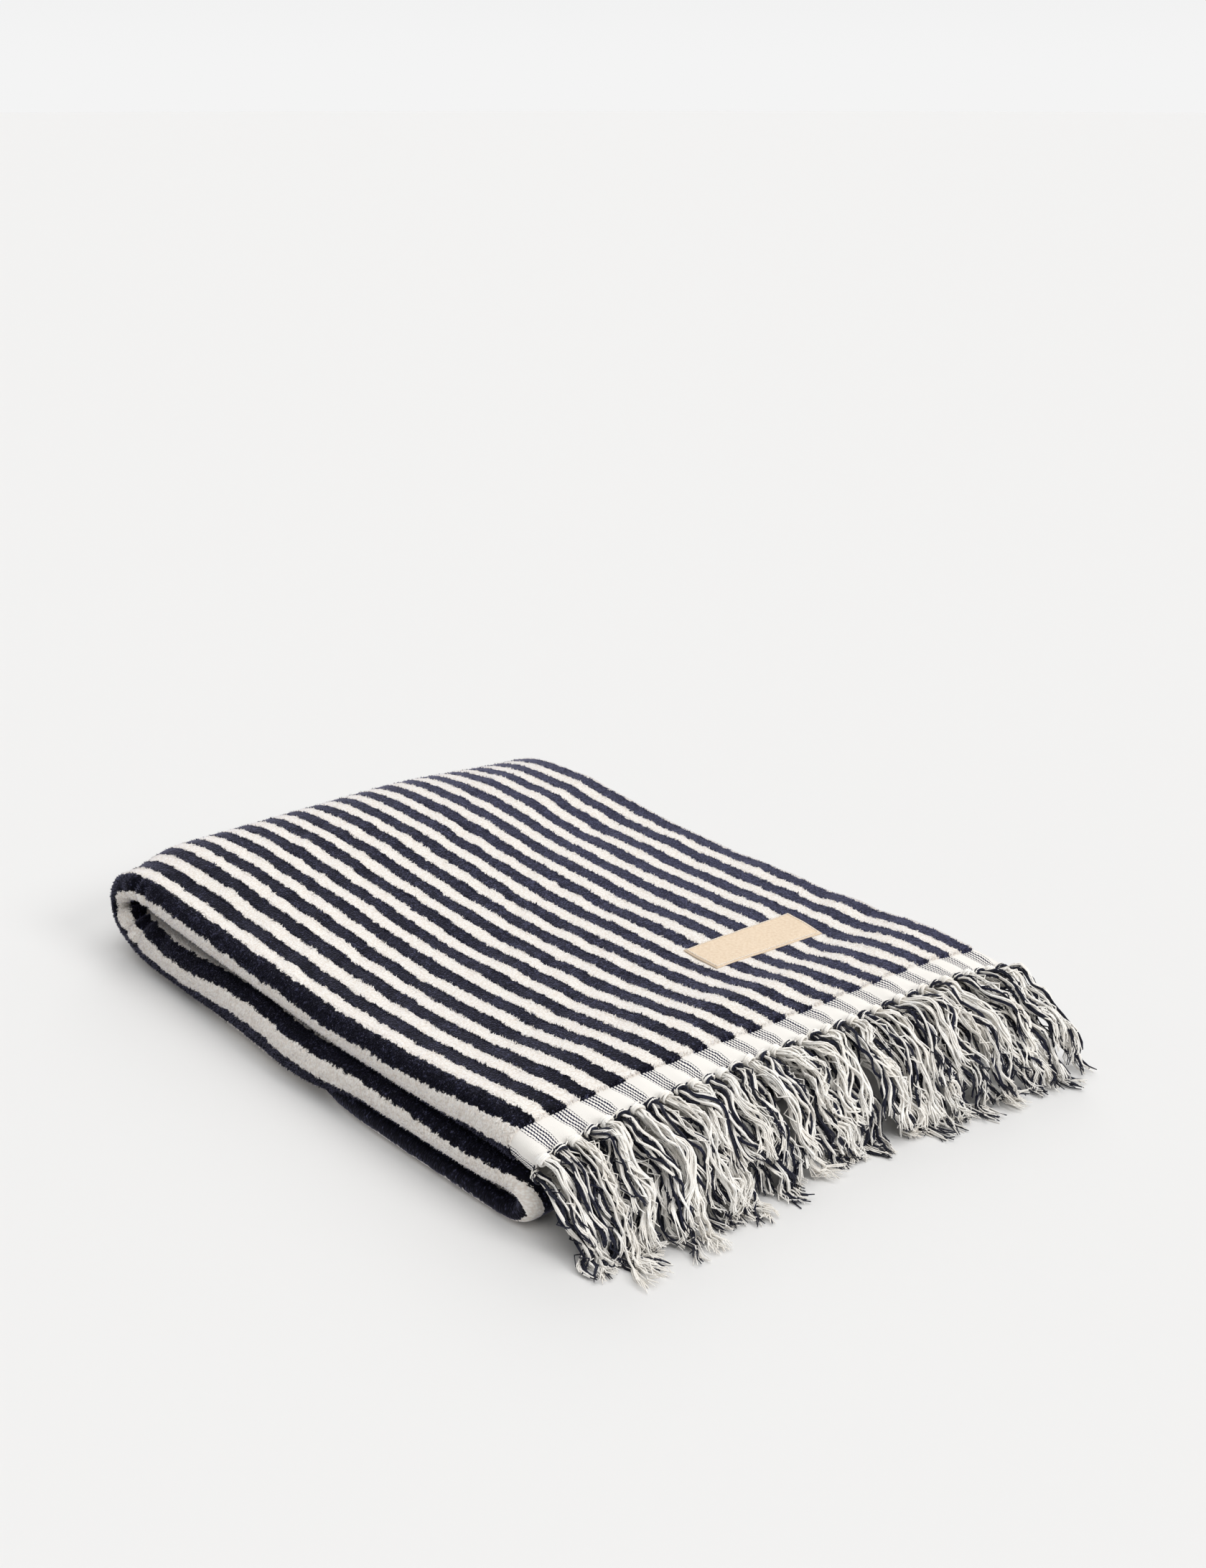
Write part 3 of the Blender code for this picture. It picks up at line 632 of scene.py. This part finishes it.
def laid_grid(name, rows, columns, place_all, pile=None):
    """A grid of cloth with its rows at the lengths s and its columns at the places t.

    place_all turns the two grids of numbers into points; the flat coordinates become the UV map.
    """
    s, t = np.meshgrid(np.array(rows), np.array(columns), indexing="ij")
    points = place_all(s, t)
    shape = bmesh.new()
    count, lines = len(columns), len(rows)
    bmesh.ops.create_grid(shape, x_segments=count - 1, y_segments=lines - 1, size=1.0)
    weights = shape.verts.layers.deform.verify()
    flat = shape.loops.layers.uv.new("flat")
    places = {}
    for vert in shape.verts:
        j = round((vert.co.x + 1) / 2 * (count - 1))
        i = round((vert.co.y + 1) / 2 * (lines - 1))
        places[vert] = (s[i, j], t[i, j])
        vert.co = points[i, j]
        if pile is not None:
            vert[weights][0] = pile(s[i, j])
    lay_out(shape, flat, places)
    return mesh_of(shape, name)


def cloth_columns():
    """Places t across the towel: close together round the nose, wider on the inner sheet."""
    inner = np.linspace(-0.5, -0.065, 37)
    nose = np.linspace(-0.060, 0.060, 41)
    outer = np.linspace(0.0665, 0.5, 68)
    return np.concatenate([inner, nose, outer])


def cloth_rows(start, end):
    """Lengths s along the panels: close together in the folds."""
    marks = [
        (start, 0.0050),
        (TOP_END - 0.045, 0.0038),
        (section.row_length(LEFT_FOLD_ROW + 5) - 0.03, 0.0075),
        (RIGHT_FOLD - 0.012, 0.0040),
        (section.row_length(RIGHT_FOLD_ROW + 4) + 0.012, 0.0100),
    ]
    rows = []
    for (lo, step), hi in zip(marks, [m[0] for m in marks[1:]] + [end]):
        rows += list(np.linspace(lo, hi, max(2, round((hi - lo) / step) + 1))[:-1])
    return rows + [end]


def place_cloth(s, t):
    """The middle of the cloth with its creases, for whole grids of s and t."""
    points = np.stack([cloth_at(row[0], places) for row, places in zip(s, t)])
    return points + grid_normals(points) * creases(s, t)[:, :, None]


class Surface:
    """The outer face of the pile cloth, as a table of places by s and t."""

    def __init__(self, rows, columns):
        self.rows, self.columns = np.array(rows), np.array(columns)
        s, t = np.meshgrid(self.rows, self.columns, indexing="ij")
        points = place_cloth(s, t)
        self.normals = grid_normals(points)
        self.points = points + self.normals * (PILE_CLOTH / 2)

    def at(self, s, t):
        """Places on the outer face and their normals."""
        i = np.clip(np.searchsorted(self.rows, s) - 1, 0, len(self.rows) - 2)
        j = np.clip(np.searchsorted(self.columns, t) - 1, 0, len(self.columns) - 2)
        u = ((s - self.rows[i]) / (self.rows[i + 1] - self.rows[i]))[:, None]
        v = ((t - self.columns[j]) / (self.columns[j + 1] - self.columns[j]))[:, None]
        found = []
        for table in (self.points, self.normals):
            near = table[i, j] * (1 - v) + table[i, j + 1] * v
            far = table[i + 1, j] * (1 - v) + table[i + 1, j + 1] * v
            found.append(near * (1 - u) + far * u)
        return found


def make_tufts(name, surface, s, t, finish):
    """Single tufts of pile that stand out of the velour, each leaning its own way."""
    rng = np.random.default_rng(len(s))
    roots, normals = surface.at(s, t)
    way = normals + rng.normal(0.0, 0.42, roots.shape)
    way /= np.linalg.norm(way, axis=1, keepdims=True)
    aside = np.cross(way, [0.3, 0.5, 0.81])
    aside /= np.linalg.norm(aside, axis=1, keepdims=True)
    beside = np.cross(way, aside)
    shape = bmesh.new()
    bmesh.ops.create_cone(shape, cap_ends=False, segments=3, radius1=1.0, radius2=0.0, depth=1.0)
    shape.loops.layers.uv.new("flat")
    for face in shape.faces:
        face.smooth = True
    one = mesh_of(shape, name + "_one")
    local = np.array([v.co for v in one.vertices])
    # One cone is repeated by the modifier, and each copy is then put in its place.
    holder = add_object(name + "_one", one)
    many = holder.modifiers.new("many", "ARRAY")
    many.count = len(s)
    many.use_relative_offset = False
    mesh = mesh_of_object(holder, name)
    wide = rng.uniform(0.0006, 0.0010, len(s))[:, None, None]
    tall = rng.uniform(0.0014, 0.0028, len(s))[:, None, None]
    sunk_roots = (roots - normals * TUFT_ROOT)[:, None, :]
    points = sunk_roots + way[:, None, :] * (local[None, :, 2:3] + 0.5) * tall
    sides = aside[:, None, :] * local[None, :, 0:1] + beside[:, None, :] * local[None, :, 1:2]
    points = points + sides * wide
    points[:, :, 2] = np.maximum(points[:, :, 2], FLOOR)
    mesh.vertices.foreach_set("co", points.reshape(-1))
    places = np.repeat(np.stack([s, t], axis=1), len(mesh.loops) // len(s), axis=0)
    mesh.uv_layers["flat"].data.foreach_set("uv", places.reshape(-1))
    mesh.update()
    made = add_piece(name, mesh, finish)
    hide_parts("towel_cloth")
    return made


def sown(s_from, s_to, t_from, t_to, seed):
    """Places of tufts in rows along the stripes, each a little off its place in the row."""
    rng = np.random.default_rng(seed)
    along, across = np.arange(s_from, s_to, TUFT_ALONG), np.arange(t_from, t_to, TUFT_ACROSS)
    s, t = np.meshgrid(along, across, indexing="ij")
    s, t = s.ravel(), t.ravel()
    s = s + rng.uniform(-0.0006, 0.0006, len(s))
    t = t + rng.uniform(-0.0008, 0.0008, len(t))
    return np.clip(s, s_from, s_to), t


def make_pile(surface, finish):
    """Tufts where the pile shows its own edge: round the nose, along the borders of the stripes on
    the top panel, and along the flat-woven band."""
    start, end = surface.rows[0], surface.rows[-1]
    nose = sown(start, end - 0.30, -0.030, NOSE_TUFTS_TO, 1)
    s, t = sown(start, TOP_END + 0.06, NOSE_TUFTS_TO, 0.4990, 2)
    from_border = np.abs((t + STRIPE) % (2 * STRIPE) - STRIPE) - CREAM_HALF
    border = np.abs(from_border) < 0.0022
    edge = s < start + 0.0030
    roots, _ = surface.at(s, t)
    dx, dy = roots[:, 0] - LABEL_CENTRE[0], roots[:, 1] - LABEL_CENTRE[1]
    along = dx * cos(LABEL_TURN) - dy * sin(LABEL_TURN)
    across = dx * sin(LABEL_TURN) + dy * cos(LABEL_TURN)
    # None stands under the label, which would let its tip through.
    covered = (np.abs(along) < LABEL_SIZE[0] / 2 + 0.001) & (np.abs(across) < LABEL_SIZE[1] / 2 + 0.001)
    keep = (border | edge) & ~(covered & (s < TOP_END / 2))
    return [make_tufts("pile_nose", surface, *nose, finish),
            make_tufts("pile_borders", surface, s[keep], t[keep], finish)]


def make_velour(finish):
    """The pile cloth between its two flat-woven ends, as one sheet on its folds."""
    start, end = HEADER - 0.002, section.total() - HEADER + 0.002

    def pile(s):
        """Share of the full thickness: the pile starts within 2 mm of the flat-woven band."""
        return float(0.45 + 0.55 * ease(min(s - start, end - s) / 0.003))

    rows = [start, start + 0.0015] + cloth_rows(start + 0.004, end - 0.004) + [end - 0.0015, end]
    mesh = laid_grid("towel_velour", rows, cloth_columns(), place_cloth, pile)
    made = add_piece("towel_velour", mesh, finish)
    made.vertex_groups.new(name="pile")
    wall = thicken(made, PILE_CLOTH)
    wall.use_even_offset = False
    wall.vertex_group = "pile"
    wall.thickness_vertex_group = 0.0
    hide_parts("towel_cloth")
    return made, Surface(rows, cloth_columns())


def make_header(name, s_end, finish, on_top):
    """One flat-woven band: it puckers between the knots and swells over the cream stripes."""
    way = 1 if s_end == 0.0 else -1
    shares = (0.0, 0.06, 0.14, 0.25, 0.4, 0.55, 0.7, 0.85, 1.0, 1.08)
    rows = [s_end + way * HEADER * share for share in shares]
    if way < 0:
        rows.reverse()
    columns = np.linspace(-0.5, 0.5, 286 if on_top else 143)

    def place(s, t):
        points = place_cloth(s, t)
        depth = np.clip(np.abs(s - s_end) / HEADER, 0, 1)
        swell = 0.0009 * np.cos(2 * pi * t / (2 * STRIPE)) * ease(1.3 - depth)
        between = 0.5 - 0.5 * np.cos(2 * pi * t / STRIPE)
        pucker = -0.0022 * between ** 2 * ease(1 - depth / 0.45)
        return points + grid_normals(points) * (swell + pucker)[:, :, None]

    mesh = laid_grid(name, rows, columns, place)
    made = add_piece(name, mesh, finish)
    thicken(made, HEADER_CLOTH * 0.8)
    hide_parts("towel_cloth")
    return made


# ---------------------------------------------------------------- threads

def thread_bundle(name, paths, radius, finish):
    """Joins many threads, each a line of points with its own radii, into one mesh of thin tubes."""
    curve = bpy.data.curves.new(name, "CURVE")
    curve.dimensions = "3D"
    curve.bevel_depth = radius
    curve.bevel_resolution = 0
    curve.use_fill_caps = True
    for points, widths in paths:
        points = np.array(points)
        points[:, 2] = np.maximum(points[:, 2], FLOOR + 1.2 * radius)
        line = curve.splines.new("POLY")
        line.points.add(len(points) - 1)
        line.points.foreach_set("co", np.hstack([points, np.ones((len(points), 1))]).ravel())
        line.points.foreach_set("radius", np.asarray(widths, float))
        line.use_smooth = True
    return add_piece(name, mesh_of_object(add_object(name + "_line", curve), name), finish)


def two_shades(name, pale, dark, radius, cream, navy):
    """A cream piece of threads, and a navy one."""
    return [thread_bundle(name + "_cream", pale, radius, cream),
            thread_bundle(name + "_navy", dark, radius, navy)]


def tip_line(y):
    """x of the fringe's tips beside the knot at y."""
    return float(np.interp(y, *zip(*TIPS)))


class Knot:
    """One knot of a fringed end, at the end of stripe number k."""

    def __init__(self, s_end, k):
        self.k = k
        way = -1 if s_end == 0.0 else 1
        u = k * STRIPE - section.turn(s_end)
        self.place = cloth_point(s_end + way * 0.0022, u)
        self.out = (cloth_point(s_end + way * 0.004, u) - cloth_point(s_end, u)).normalized()
        self.over = cloth_normal(s_end, u)
        self.across = self.over.cross(self.out).normalized()
        self.cream = k % 2 == 0
        self.upper = k > 0


def wrap(knot, radius, depth, lean, phase):
    """Points of one thread wound a little more than once round a knot."""
    points = []
    steps = 12
    for step in range(steps + 1):
        angle = phase + 2 * pi * KNOT_TURNS * step / steps
        side = cos(angle) * radius
        high = sin(angle) * radius * KNOT_FLATNESS
        points.append(knot.place + knot.across * side + knot.over * (high + 0.0012)
                      + knot.out * (depth + lean * cos(angle) + 0.0008 * step / steps))
    return np.array(points)


def make_knots(name, s_end, cream, navy):
    """The row of knots: threads wound round each bundle, cream, and cream with navy, by turns."""
    pale, dark = [], []
    for k in range(-KNOTS, KNOTS + 1):
        if s_end > 0 and abs(k * STRIPE) < HIDDEN_FROM:
            continue
        knot = Knot(s_end, k)
        rng = Random(900 + k)
        for turn in range(4):
            lean = rng.uniform(-0.0016, 0.0016)
            size = rng.uniform(0.0042, 0.0050)
            line = wrap(knot, size, -0.0014 + 0.0013 * turn, lean, rng.uniform(0, 6.28))
            widths = [rng.uniform(0.9, 1.15)] * len(line)
            if knot.cream or turn % 2 == 0:
                pale.append((line, widths))
            else:
                dark.append((line, widths))
    return two_shades(name, pale, dark, KNOT_THREAD, cream, navy)


def running_thread(name, s_end, cream, navy):
    """The two-ply thread, navy and cream, that runs from knot to knot."""
    way = -1 if s_end == 0.0 else 1
    steps = 1400
    plies = []
    for ply in range(2):
        line = []
        for step in range(steps + 1):
            t = -0.49 + 0.98 * step / steps
            u = t - section.turn(s_end)
            angle = 2 * pi * t / PLY_PITCH + ply * pi
            near = 0.5 + 0.5 * cos(2 * pi * t / STRIPE)
            over = cloth_normal(s_end, u)
            base = cloth_point(s_end + way * (0.0012 + 0.0006 * sin(2 * pi * t / 0.047)), u)
            base = base + over * (0.0012 + 0.0016 * near)
            out = Vector((-way, 0.0, 0.0))
            line.append(base + over * (PLY_OFF * sin(angle)) + out * (PLY_OFF * cos(angle)))
        plies.append([(np.array(line), np.ones(len(line)))])
    return two_shades(name, *plies, RUNNING_THREAD, cream, navy)


def falling_line(root, tip_x):
    """The line on which bundles drape from a knot to the floor and run on there: its run, x and z."""
    share = np.linspace(0, 1, 30)
    out = 0.35 * share + 0.65 * np.sin(share * pi / 2)
    x = root.x + (tip_x - FALL_SHORT - root.x) * out
    level = FLOOR + FALL_LEVEL
    z = level + (root.z - level) * np.cos(share * pi / 2)
    x, z = np.append(x, tip_x + FALL_ON), np.append(z, level)
    return run_along(np.stack([x, z], axis=1)), x, z


class Bundle:
    """How one bundle of the visible fringe hangs: the line of its middle, and how it opens."""

    def __init__(self, knot, rng):
        self.knot, self.rng = knot, rng
        self.tip_x = tip_line(knot.place.y) + rng.uniform(-0.005, 0.005)
        self.layer = 0.0035 + rng.uniform(-0.001, 0.003) if knot.upper else 0.0
        fall, x, _ = falling_line(knot.place, self.tip_x)
        reach = float(np.interp(self.tip_x, x, fall))
        self.length = reach * (rng.uniform(0.60, 0.88) if knot.upper else rng.uniform(0.93, 1.06))
        self.swing = rng.uniform(0.25, 0.62)
        self.swing_wave = rng.uniform(0.048, 0.080)
        self.phase = 2 * pi * knot.place.y / 0.118 + rng.uniform(-0.9, 0.9)
        self.phase += 0.0 if knot.upper else 2.0
        self.lean = rng.uniform(-0.16, 0.16)
        self.rise = rng.uniform(0.0012, 0.0036)
        self.rise_wave = rng.uniform(0.040, 0.065)
        self.rise_phase = rng.uniform(0, 2 * pi)
        self.twist = rng.uniform(-1.0, 1.0) * 2 * pi / 0.10
        self.open = rng.uniform(0.0054, 0.0070)
        self.flare = rng.uniform(0.002, 0.006) if knot.upper else rng.uniform(0.003, 0.009)
        if knot.k in LOOSE_ONES:
            self.length, self.swing, self.lean, self.flare, self.phase = LOOSE_ONES[knot.k]
            self.layer, self.twist = 0.001, 0.0

    def middle(self, steps):
        """Places of the bundle's middle line, and the directions to its side and up from it."""
        fall, x, z = falling_line(self.knot.place, self.tip_x)
        along = np.linspace(0.0, self.length * 1.12, steps)
        swung = np.sin(2 * pi * along / self.swing_wave + self.phase)
        heading = self.swing * swung * ease(along / 0.016) + self.lean * ease(along / 0.03)
        step = along[1]
        down = np.concatenate([[0.0], np.cumsum(np.cos(heading[:-1]) * step)])
        aside = np.concatenate([[0.0], np.cumsum(np.sin(heading[:-1]) * step)])
        px, pz = np.interp(down, fall, x), np.interp(down, fall, z)
        slope_x, slope_z = np.gradient(px), np.gradient(pz)
        size = np.maximum(np.hypot(slope_x, slope_z), 1e-9)
        up = np.stack([-slope_z / size, 0 * size, slope_x / size], axis=1)
        high = self.layer * ease(along / 0.02)
        waving = np.sin(2 * pi * along / self.rise_wave + self.rise_phase)
        high = high + self.rise * waving * ease(along / 0.02)
        middle = np.stack([px, self.knot.place.y + aside, pz], axis=1) + up * high[:, None]
        ahead = np.gradient(middle, axis=0)
        ahead /= np.linalg.norm(ahead, axis=1, keepdims=True)
        side = np.cross(up, ahead)
        side /= np.linalg.norm(side, axis=1, keepdims=True)
        return along, middle, side, up

    def yarns(self, count, steps=18):
        """Lines of the yarns, which keep to their strand, cross, crimp and open at the cut end."""
        rng = self.rng
        whole, middle, sides, ups = self.middle(60)
        strands = []
        for strand in range(STRANDS):
            turn, out = strand * 1.05 + rng.uniform(-0.4, 0.4), rng.uniform(0.45, 0.80)
            strands.append((turn, out, rng.uniform(0.0006, 0.0018), rng.uniform(0.018, 0.034),
                            rng.uniform(0, 2 * pi)))
        lines = []
        for number in range(count):
            turn, out, sweep, wave, start = strands[number % STRANDS]
            own = self.length * (1 - 0.16 * rng.random() ** 1.6)
            along = np.linspace(0.0, own, steps)
            place, side, up = (np.stack([np.interp(along, whole, row) for row in table.T], axis=1)
                               for table in (middle, sides, ups))
            around = turn + self.twist * along
            opened = ease(along / 0.014)
            tip = ease((along - own + 0.020) / 0.026)
            width = LEAVES_WIDE + (self.open - LEAVES_WIDE) * opened + self.flare * tip
            thick = LEAVES_THICK + OPENS_THICK * opened + ENDS_THICK * tip
            crossing = 2 * pi * along / wave + start
            across = np.cos(around) * out * width + sweep * np.sin(crossing) * opened
            high = np.sin(around) * out * thick + sweep * np.cos(crossing) * opened
            own_turn, own_far = rng.uniform(0, 2 * pi), STRAND_HALF * rng.random() ** 0.5
            across = across + np.cos(own_turn) * own_far * (1 + 0.9 * tip)
            high = high + np.sin(own_turn) * own_far * (1 + 0.5 * tip)
            size = rng.uniform(*(CURL if rng.random() < CURLED_SHARE else CRIMP))
            crimp = 2 * pi * along / rng.uniform(*CRIMP_PITCH) + rng.uniform(0, 2 * pi)
            stray = rng.uniform(-1, 1) * STRAYS_ASIDE * tip ** 2
            across = across + size * np.sin(crimp) * opened + stray
            stray = rng.uniform(-0.3, 1) * STRAYS_UP * tip ** 2
            high = high + size * np.cos(crimp) * opened + stray
            points = place + side * across[:, None] + up * high[:, None]
            lowest = FLOOR + YARN + rng.uniform(0, 0.0045)
            points[:, 2] = np.maximum(points[:, 2], lowest)
            widths = np.full(steps, rng.uniform(0.85, 1.1))
            widths[-1] *= 0.7
            lines.append((points, widths))
        return lines


def make_fringe(cream, navy):
    """The visible fringe: bundles of cream yarns, and of navy and cream ones, by turns."""
    upper, under, dark = [], [], []
    # Bundles of whole number start at the knots; those between them fill the layer underneath.
    for k in list(range(-KNOTS, KNOTS + 1)) + [k + 0.5 for k in range(KNOTS)]:
        knot = Knot(0.0, k)
        bundle = Bundle(knot, Random(100 + 2 * k))
        filling = k != int(k)
        if filling:
            bundle.layer, bundle.length, bundle.open = -0.004, bundle.length * 1.25, 0.0062
            knot.place = knot.place - knot.over * 0.003
        for number, line in enumerate(bundle.yarns(YARNS_BETWEEN if filling else YARNS_AT_KNOT)):
            if not knot.cream and (number % STRANDS) % 2 == 1:
                dark.append(line)
            elif knot.upper:
                upper.append(line)
            else:
                under.append(line)
    return [thread_bundle("fringe_cream_upper", upper, YARN, cream),
            thread_bundle("fringe_cream_under", under, YARN, cream),
            thread_bundle("fringe_navy", dark, YARN, navy)]


def make_hidden_fringe(cream, navy):
    """The fringe of the bottom panel, laid level on the floor under the middle panel."""
    pale, dark = [], []
    steps = 8
    for k in range(-KNOTS, KNOTS + 1):
        if abs(k * STRIPE) < HIDDEN_FROM:
            continue
        knot = Knot(section.total(), k)
        rng = Random(300 + k)
        long = HIDDEN_UPPER if knot.upper else HIDDEN_UNDER
        for number in range(9):
            along = np.linspace(0, long * rng.uniform(0.9, 1.0), steps)
            fall = ease(along / (0.5 * long))
            rest = FLOOR + 0.0008 + rng.uniform(0, 0.0030)
            side = rng.uniform(-0.0038, 0.0038)
            wave = np.sin(2 * pi * along / 0.03 + number) * 0.0008 * fall
            z = knot.place.z + rng.uniform(-0.001, 0.001) + (rest - knot.place.z) * fall
            points = np.stack([knot.place.x - along, knot.place.y + side + wave, z], axis=1)
            (pale if knot.cream or number % 2 == 0 else dark).append((points, np.ones(steps) * 1.2))
    return two_shades("hidden_yarns", pale, dark, YARN, cream, navy)


# ---------------------------------------------------------------- label

def on_top_panel(x, y):
    """s and u of the top panel's outer face under one place."""
    nose = section.at(TOP_END / 3)[0][2]
    depth = min(nose, NOSE_DEPTH_A)
    u = y - NOSE_FRONT - depth + (nose + depth) * pi / 4
    lo, hi = 0.0, TOP_END
    for _ in range(24):
        s = (lo + hi) / 2
        if cloth_point(s, u).x > x:
            lo = s
        else:
            hi = s
    return s, u


def label_place(along, across):
    """A place of the label as it would lie on the pile, along and across from its middle."""
    x = LABEL_CENTRE[0] + along * cos(LABEL_TURN) + across * sin(LABEL_TURN)
    y = LABEL_CENTRE[1] - along * sin(LABEL_TURN) + across * cos(LABEL_TURN)
    s, u = on_top_panel(x, y)
    edge = min(LABEL_SIZE[0] / 2 - abs(along), LABEL_SIZE[1] / 2 - abs(across))
    sunk = 0.0004 * float(1 - ease(edge / 0.004))
    return cloth_point(s, u) + cloth_normal(s, u) * (PILE_CLOTH / 2 + LABEL_GAP - sunk)


def corners_of(half_x, half_y):
    """The corners of a rectangle, in turn round it."""
    return [(-half_x, -half_y), (half_x, -half_y), (half_x, half_y), (-half_x, half_y)]


def make_label(finish, thread):
    """The bare sewn canvas patch, with its row of stitches just inside the edge."""
    half_x, half_y = LABEL_SIZE[0] / 2, LABEL_SIZE[1] / 2
    one, two, four, three = [label_place(x, y) for x, y in corners_of(half_x, half_y)]
    normal = (two - one).cross(three - one).normalized()

    def on_canvas(along, across, over):
        """A place over the stiff canvas, which spans the cloth's small waves between its corners."""
        a, b = along / LABEL_SIZE[0] + 0.5, across / LABEL_SIZE[1] + 0.5
        flat = (one * (1 - a) + two * a) * (1 - b) + (three * (1 - a) + four * a) * b
        rise = (label_place(along, across) - flat).dot(normal)
        return flat + normal * (0.5 * rise + LABEL_LIFT + over)

    shape = bmesh.new()
    bmesh.ops.create_grid(shape, x_segments=16, y_segments=40, size=0.5)
    flat_map = shape.loops.layers.uv.new("flat")
    places = {}
    for vert in shape.verts:
        places[vert] = (vert.co.x * LABEL_SIZE[0], vert.co.y * LABEL_SIZE[1])
        vert.co = on_canvas(*places[vert], 0.0003)
    lay_out(shape, flat_map, places)
    patch = add_piece("label_patch", mesh_of(shape, "label_patch"), finish)
    thicken(patch, LABEL_THICK)
    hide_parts("label")
    stitches = []
    corners = corners_of(half_x - STITCH_INSET, half_y - STITCH_INSET)
    for (x1, y1), (x2, y2) in zip(corners, corners[1:] + corners[:1]):
        count = round(hypot(x2 - x1, y2 - y1) / STITCH_PITCH)
        for i in range(count):
            line = []
            for share, high in STITCH_ARCH:
                at = (i + share) / count
                line.append(on_canvas(x1 + (x2 - x1) * at, y1 + (y2 - y1) * at, high))
            stitches.append((np.array(line), np.ones(len(line))))
    row = thread_bundle("label_stitches", stitches, STITCH_THREAD, thread)
    return [patch, row]


# ---------------------------------------------------------------- studio

def make_floor(finish):
    """A wide level floor at the towel's lowest point."""
    shape = bmesh.new()
    bmesh.ops.create_circle(shape, cap_ends=True, segments=64, radius=40.0)
    mesh = mesh_of(shape, "floor")
    for vert in mesh.vertices:
        vert.co.z = FLOOR
    mesh.materials.append(finish)
    made = add_object("floor", mesh)


def make_light():
    """Soft studio light: a pale room, dimmer in front, and three soft lamps."""
    world = bpy.data.worlds.new("studio")
    bpy.context.scene.world = world
    world.use_nodes = True
    tree = world.node_tree
    way = add(tree, "TexCoord", {}).outputs["Generated"]
    height = add(tree, "SeparateXYZ", {0: way}).outputs["Z"]
    # Pale at the level of the eye, dimmer above it, and brighter again overhead.
    steps = ((0.0, 0.905), (0.10, 0.84), (0.26, 0.44), (0.60, 0.45), (0.95, 0.62))
    colour = ramp(tree, height, [(where, (grey, grey, grey, 1.0)) for where, grey in steps], "EASE")
    # The room is dimmer on the side that the towel's front fold faces, above the level of the eye.
    facing = add(tree, "VectorMath", {0: way, 1: (0.30, -0.95, 0.0)}, operation="DOT_PRODUCT")
    in_front = spread(tree, facing.outputs["Value"], -0.2, 0.6, 0.0, 0.42)
    taken = maths(tree, "MULTIPLY", in_front, spread(tree, height, 0.10, 0.20))
    left = maths(tree, "SUBTRACT", 1.0, taken)
    feed(tree, tree.nodes["Background"], {"Color": colour, "Strength": left})
    # The key is wide and high; a low one from behind skims over the pile, which makes its top paler;
    # a low one from the fringed end parts the yarns.
    lamps = [
        # name, direction, strength, width in degrees
        ("key", (0.20, 0.02, 1.0), 1.34, 60),
        ("back", (-0.75, 0.66, 0.62), 0.46, 32),
        ("side", (1.0, 0.26, 0.62), 0.95, 20),
    ]
    for name, where, energy, angle in lamps:
        light = bpy.data.lights.new(name, "SUN")
        light.energy = energy
        light.angle = radians(angle)
        light.color = (1.0, 0.99, 0.975)
        add_object(name, light).rotation_euler = Vector(where).to_track_quat("Z", "Y").to_euler()


def make_camera():
    """The photo's own view."""
    data = bpy.data.cameras.new("camera")
    data.sensor_width = 36.0
    data.sensor_fit = "AUTO"
    data.lens = PHOTO_FOCAL * data.sensor_width / PHOTO_HEIGHT
    data.clip_start = 0.01
    data.clip_end = 200.0
    camera = add_object("camera", data)
    camera.location = (1.157, -0.9598, 0.7901)
    camera.rotation_euler = (radians(69.07), 0.0, radians(48.94))
    bpy.context.scene.camera = camera


make_camera()
make_light()
make_floor(matt_floor())
bpy.context.scene.view_settings.view_transform = "Standard"

pile = velour()
band = header_weave()
cream_yarn = yarn("twisted cream cotton yarn", "#F8F3EB", "#FFFEFB")
navy_yarn = yarn("twisted navy cotton yarn", "#0B0C1A", "#1E2238")
cloth, surface = make_velour(pile)
with_cloth = [make_header("header_top", 0.0, band, True),
              make_header("header_hidden", section.total(), band, False)]
with_cloth += make_pile(surface, pile)
with_cloth += make_knots("knots_top", 0.0, cream_yarn, navy_yarn)
with_cloth += running_thread("running_thread", 0.0, cream_yarn, navy_yarn)
with_cloth += make_knots("knots_hidden", section.total(), cream_yarn, navy_yarn)
top_fringe = make_fringe(cream_yarn, navy_yarn)
hidden_fringe = make_hidden_fringe(cream_yarn, navy_yarn)
for piece in top_fringe:
    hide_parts("fringe_top")
for piece in hidden_fringe:
    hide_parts("fringe_hidden")
with_cloth += top_fringe + hidden_fringe
with_cloth += make_label(canvas(), cream_yarn)
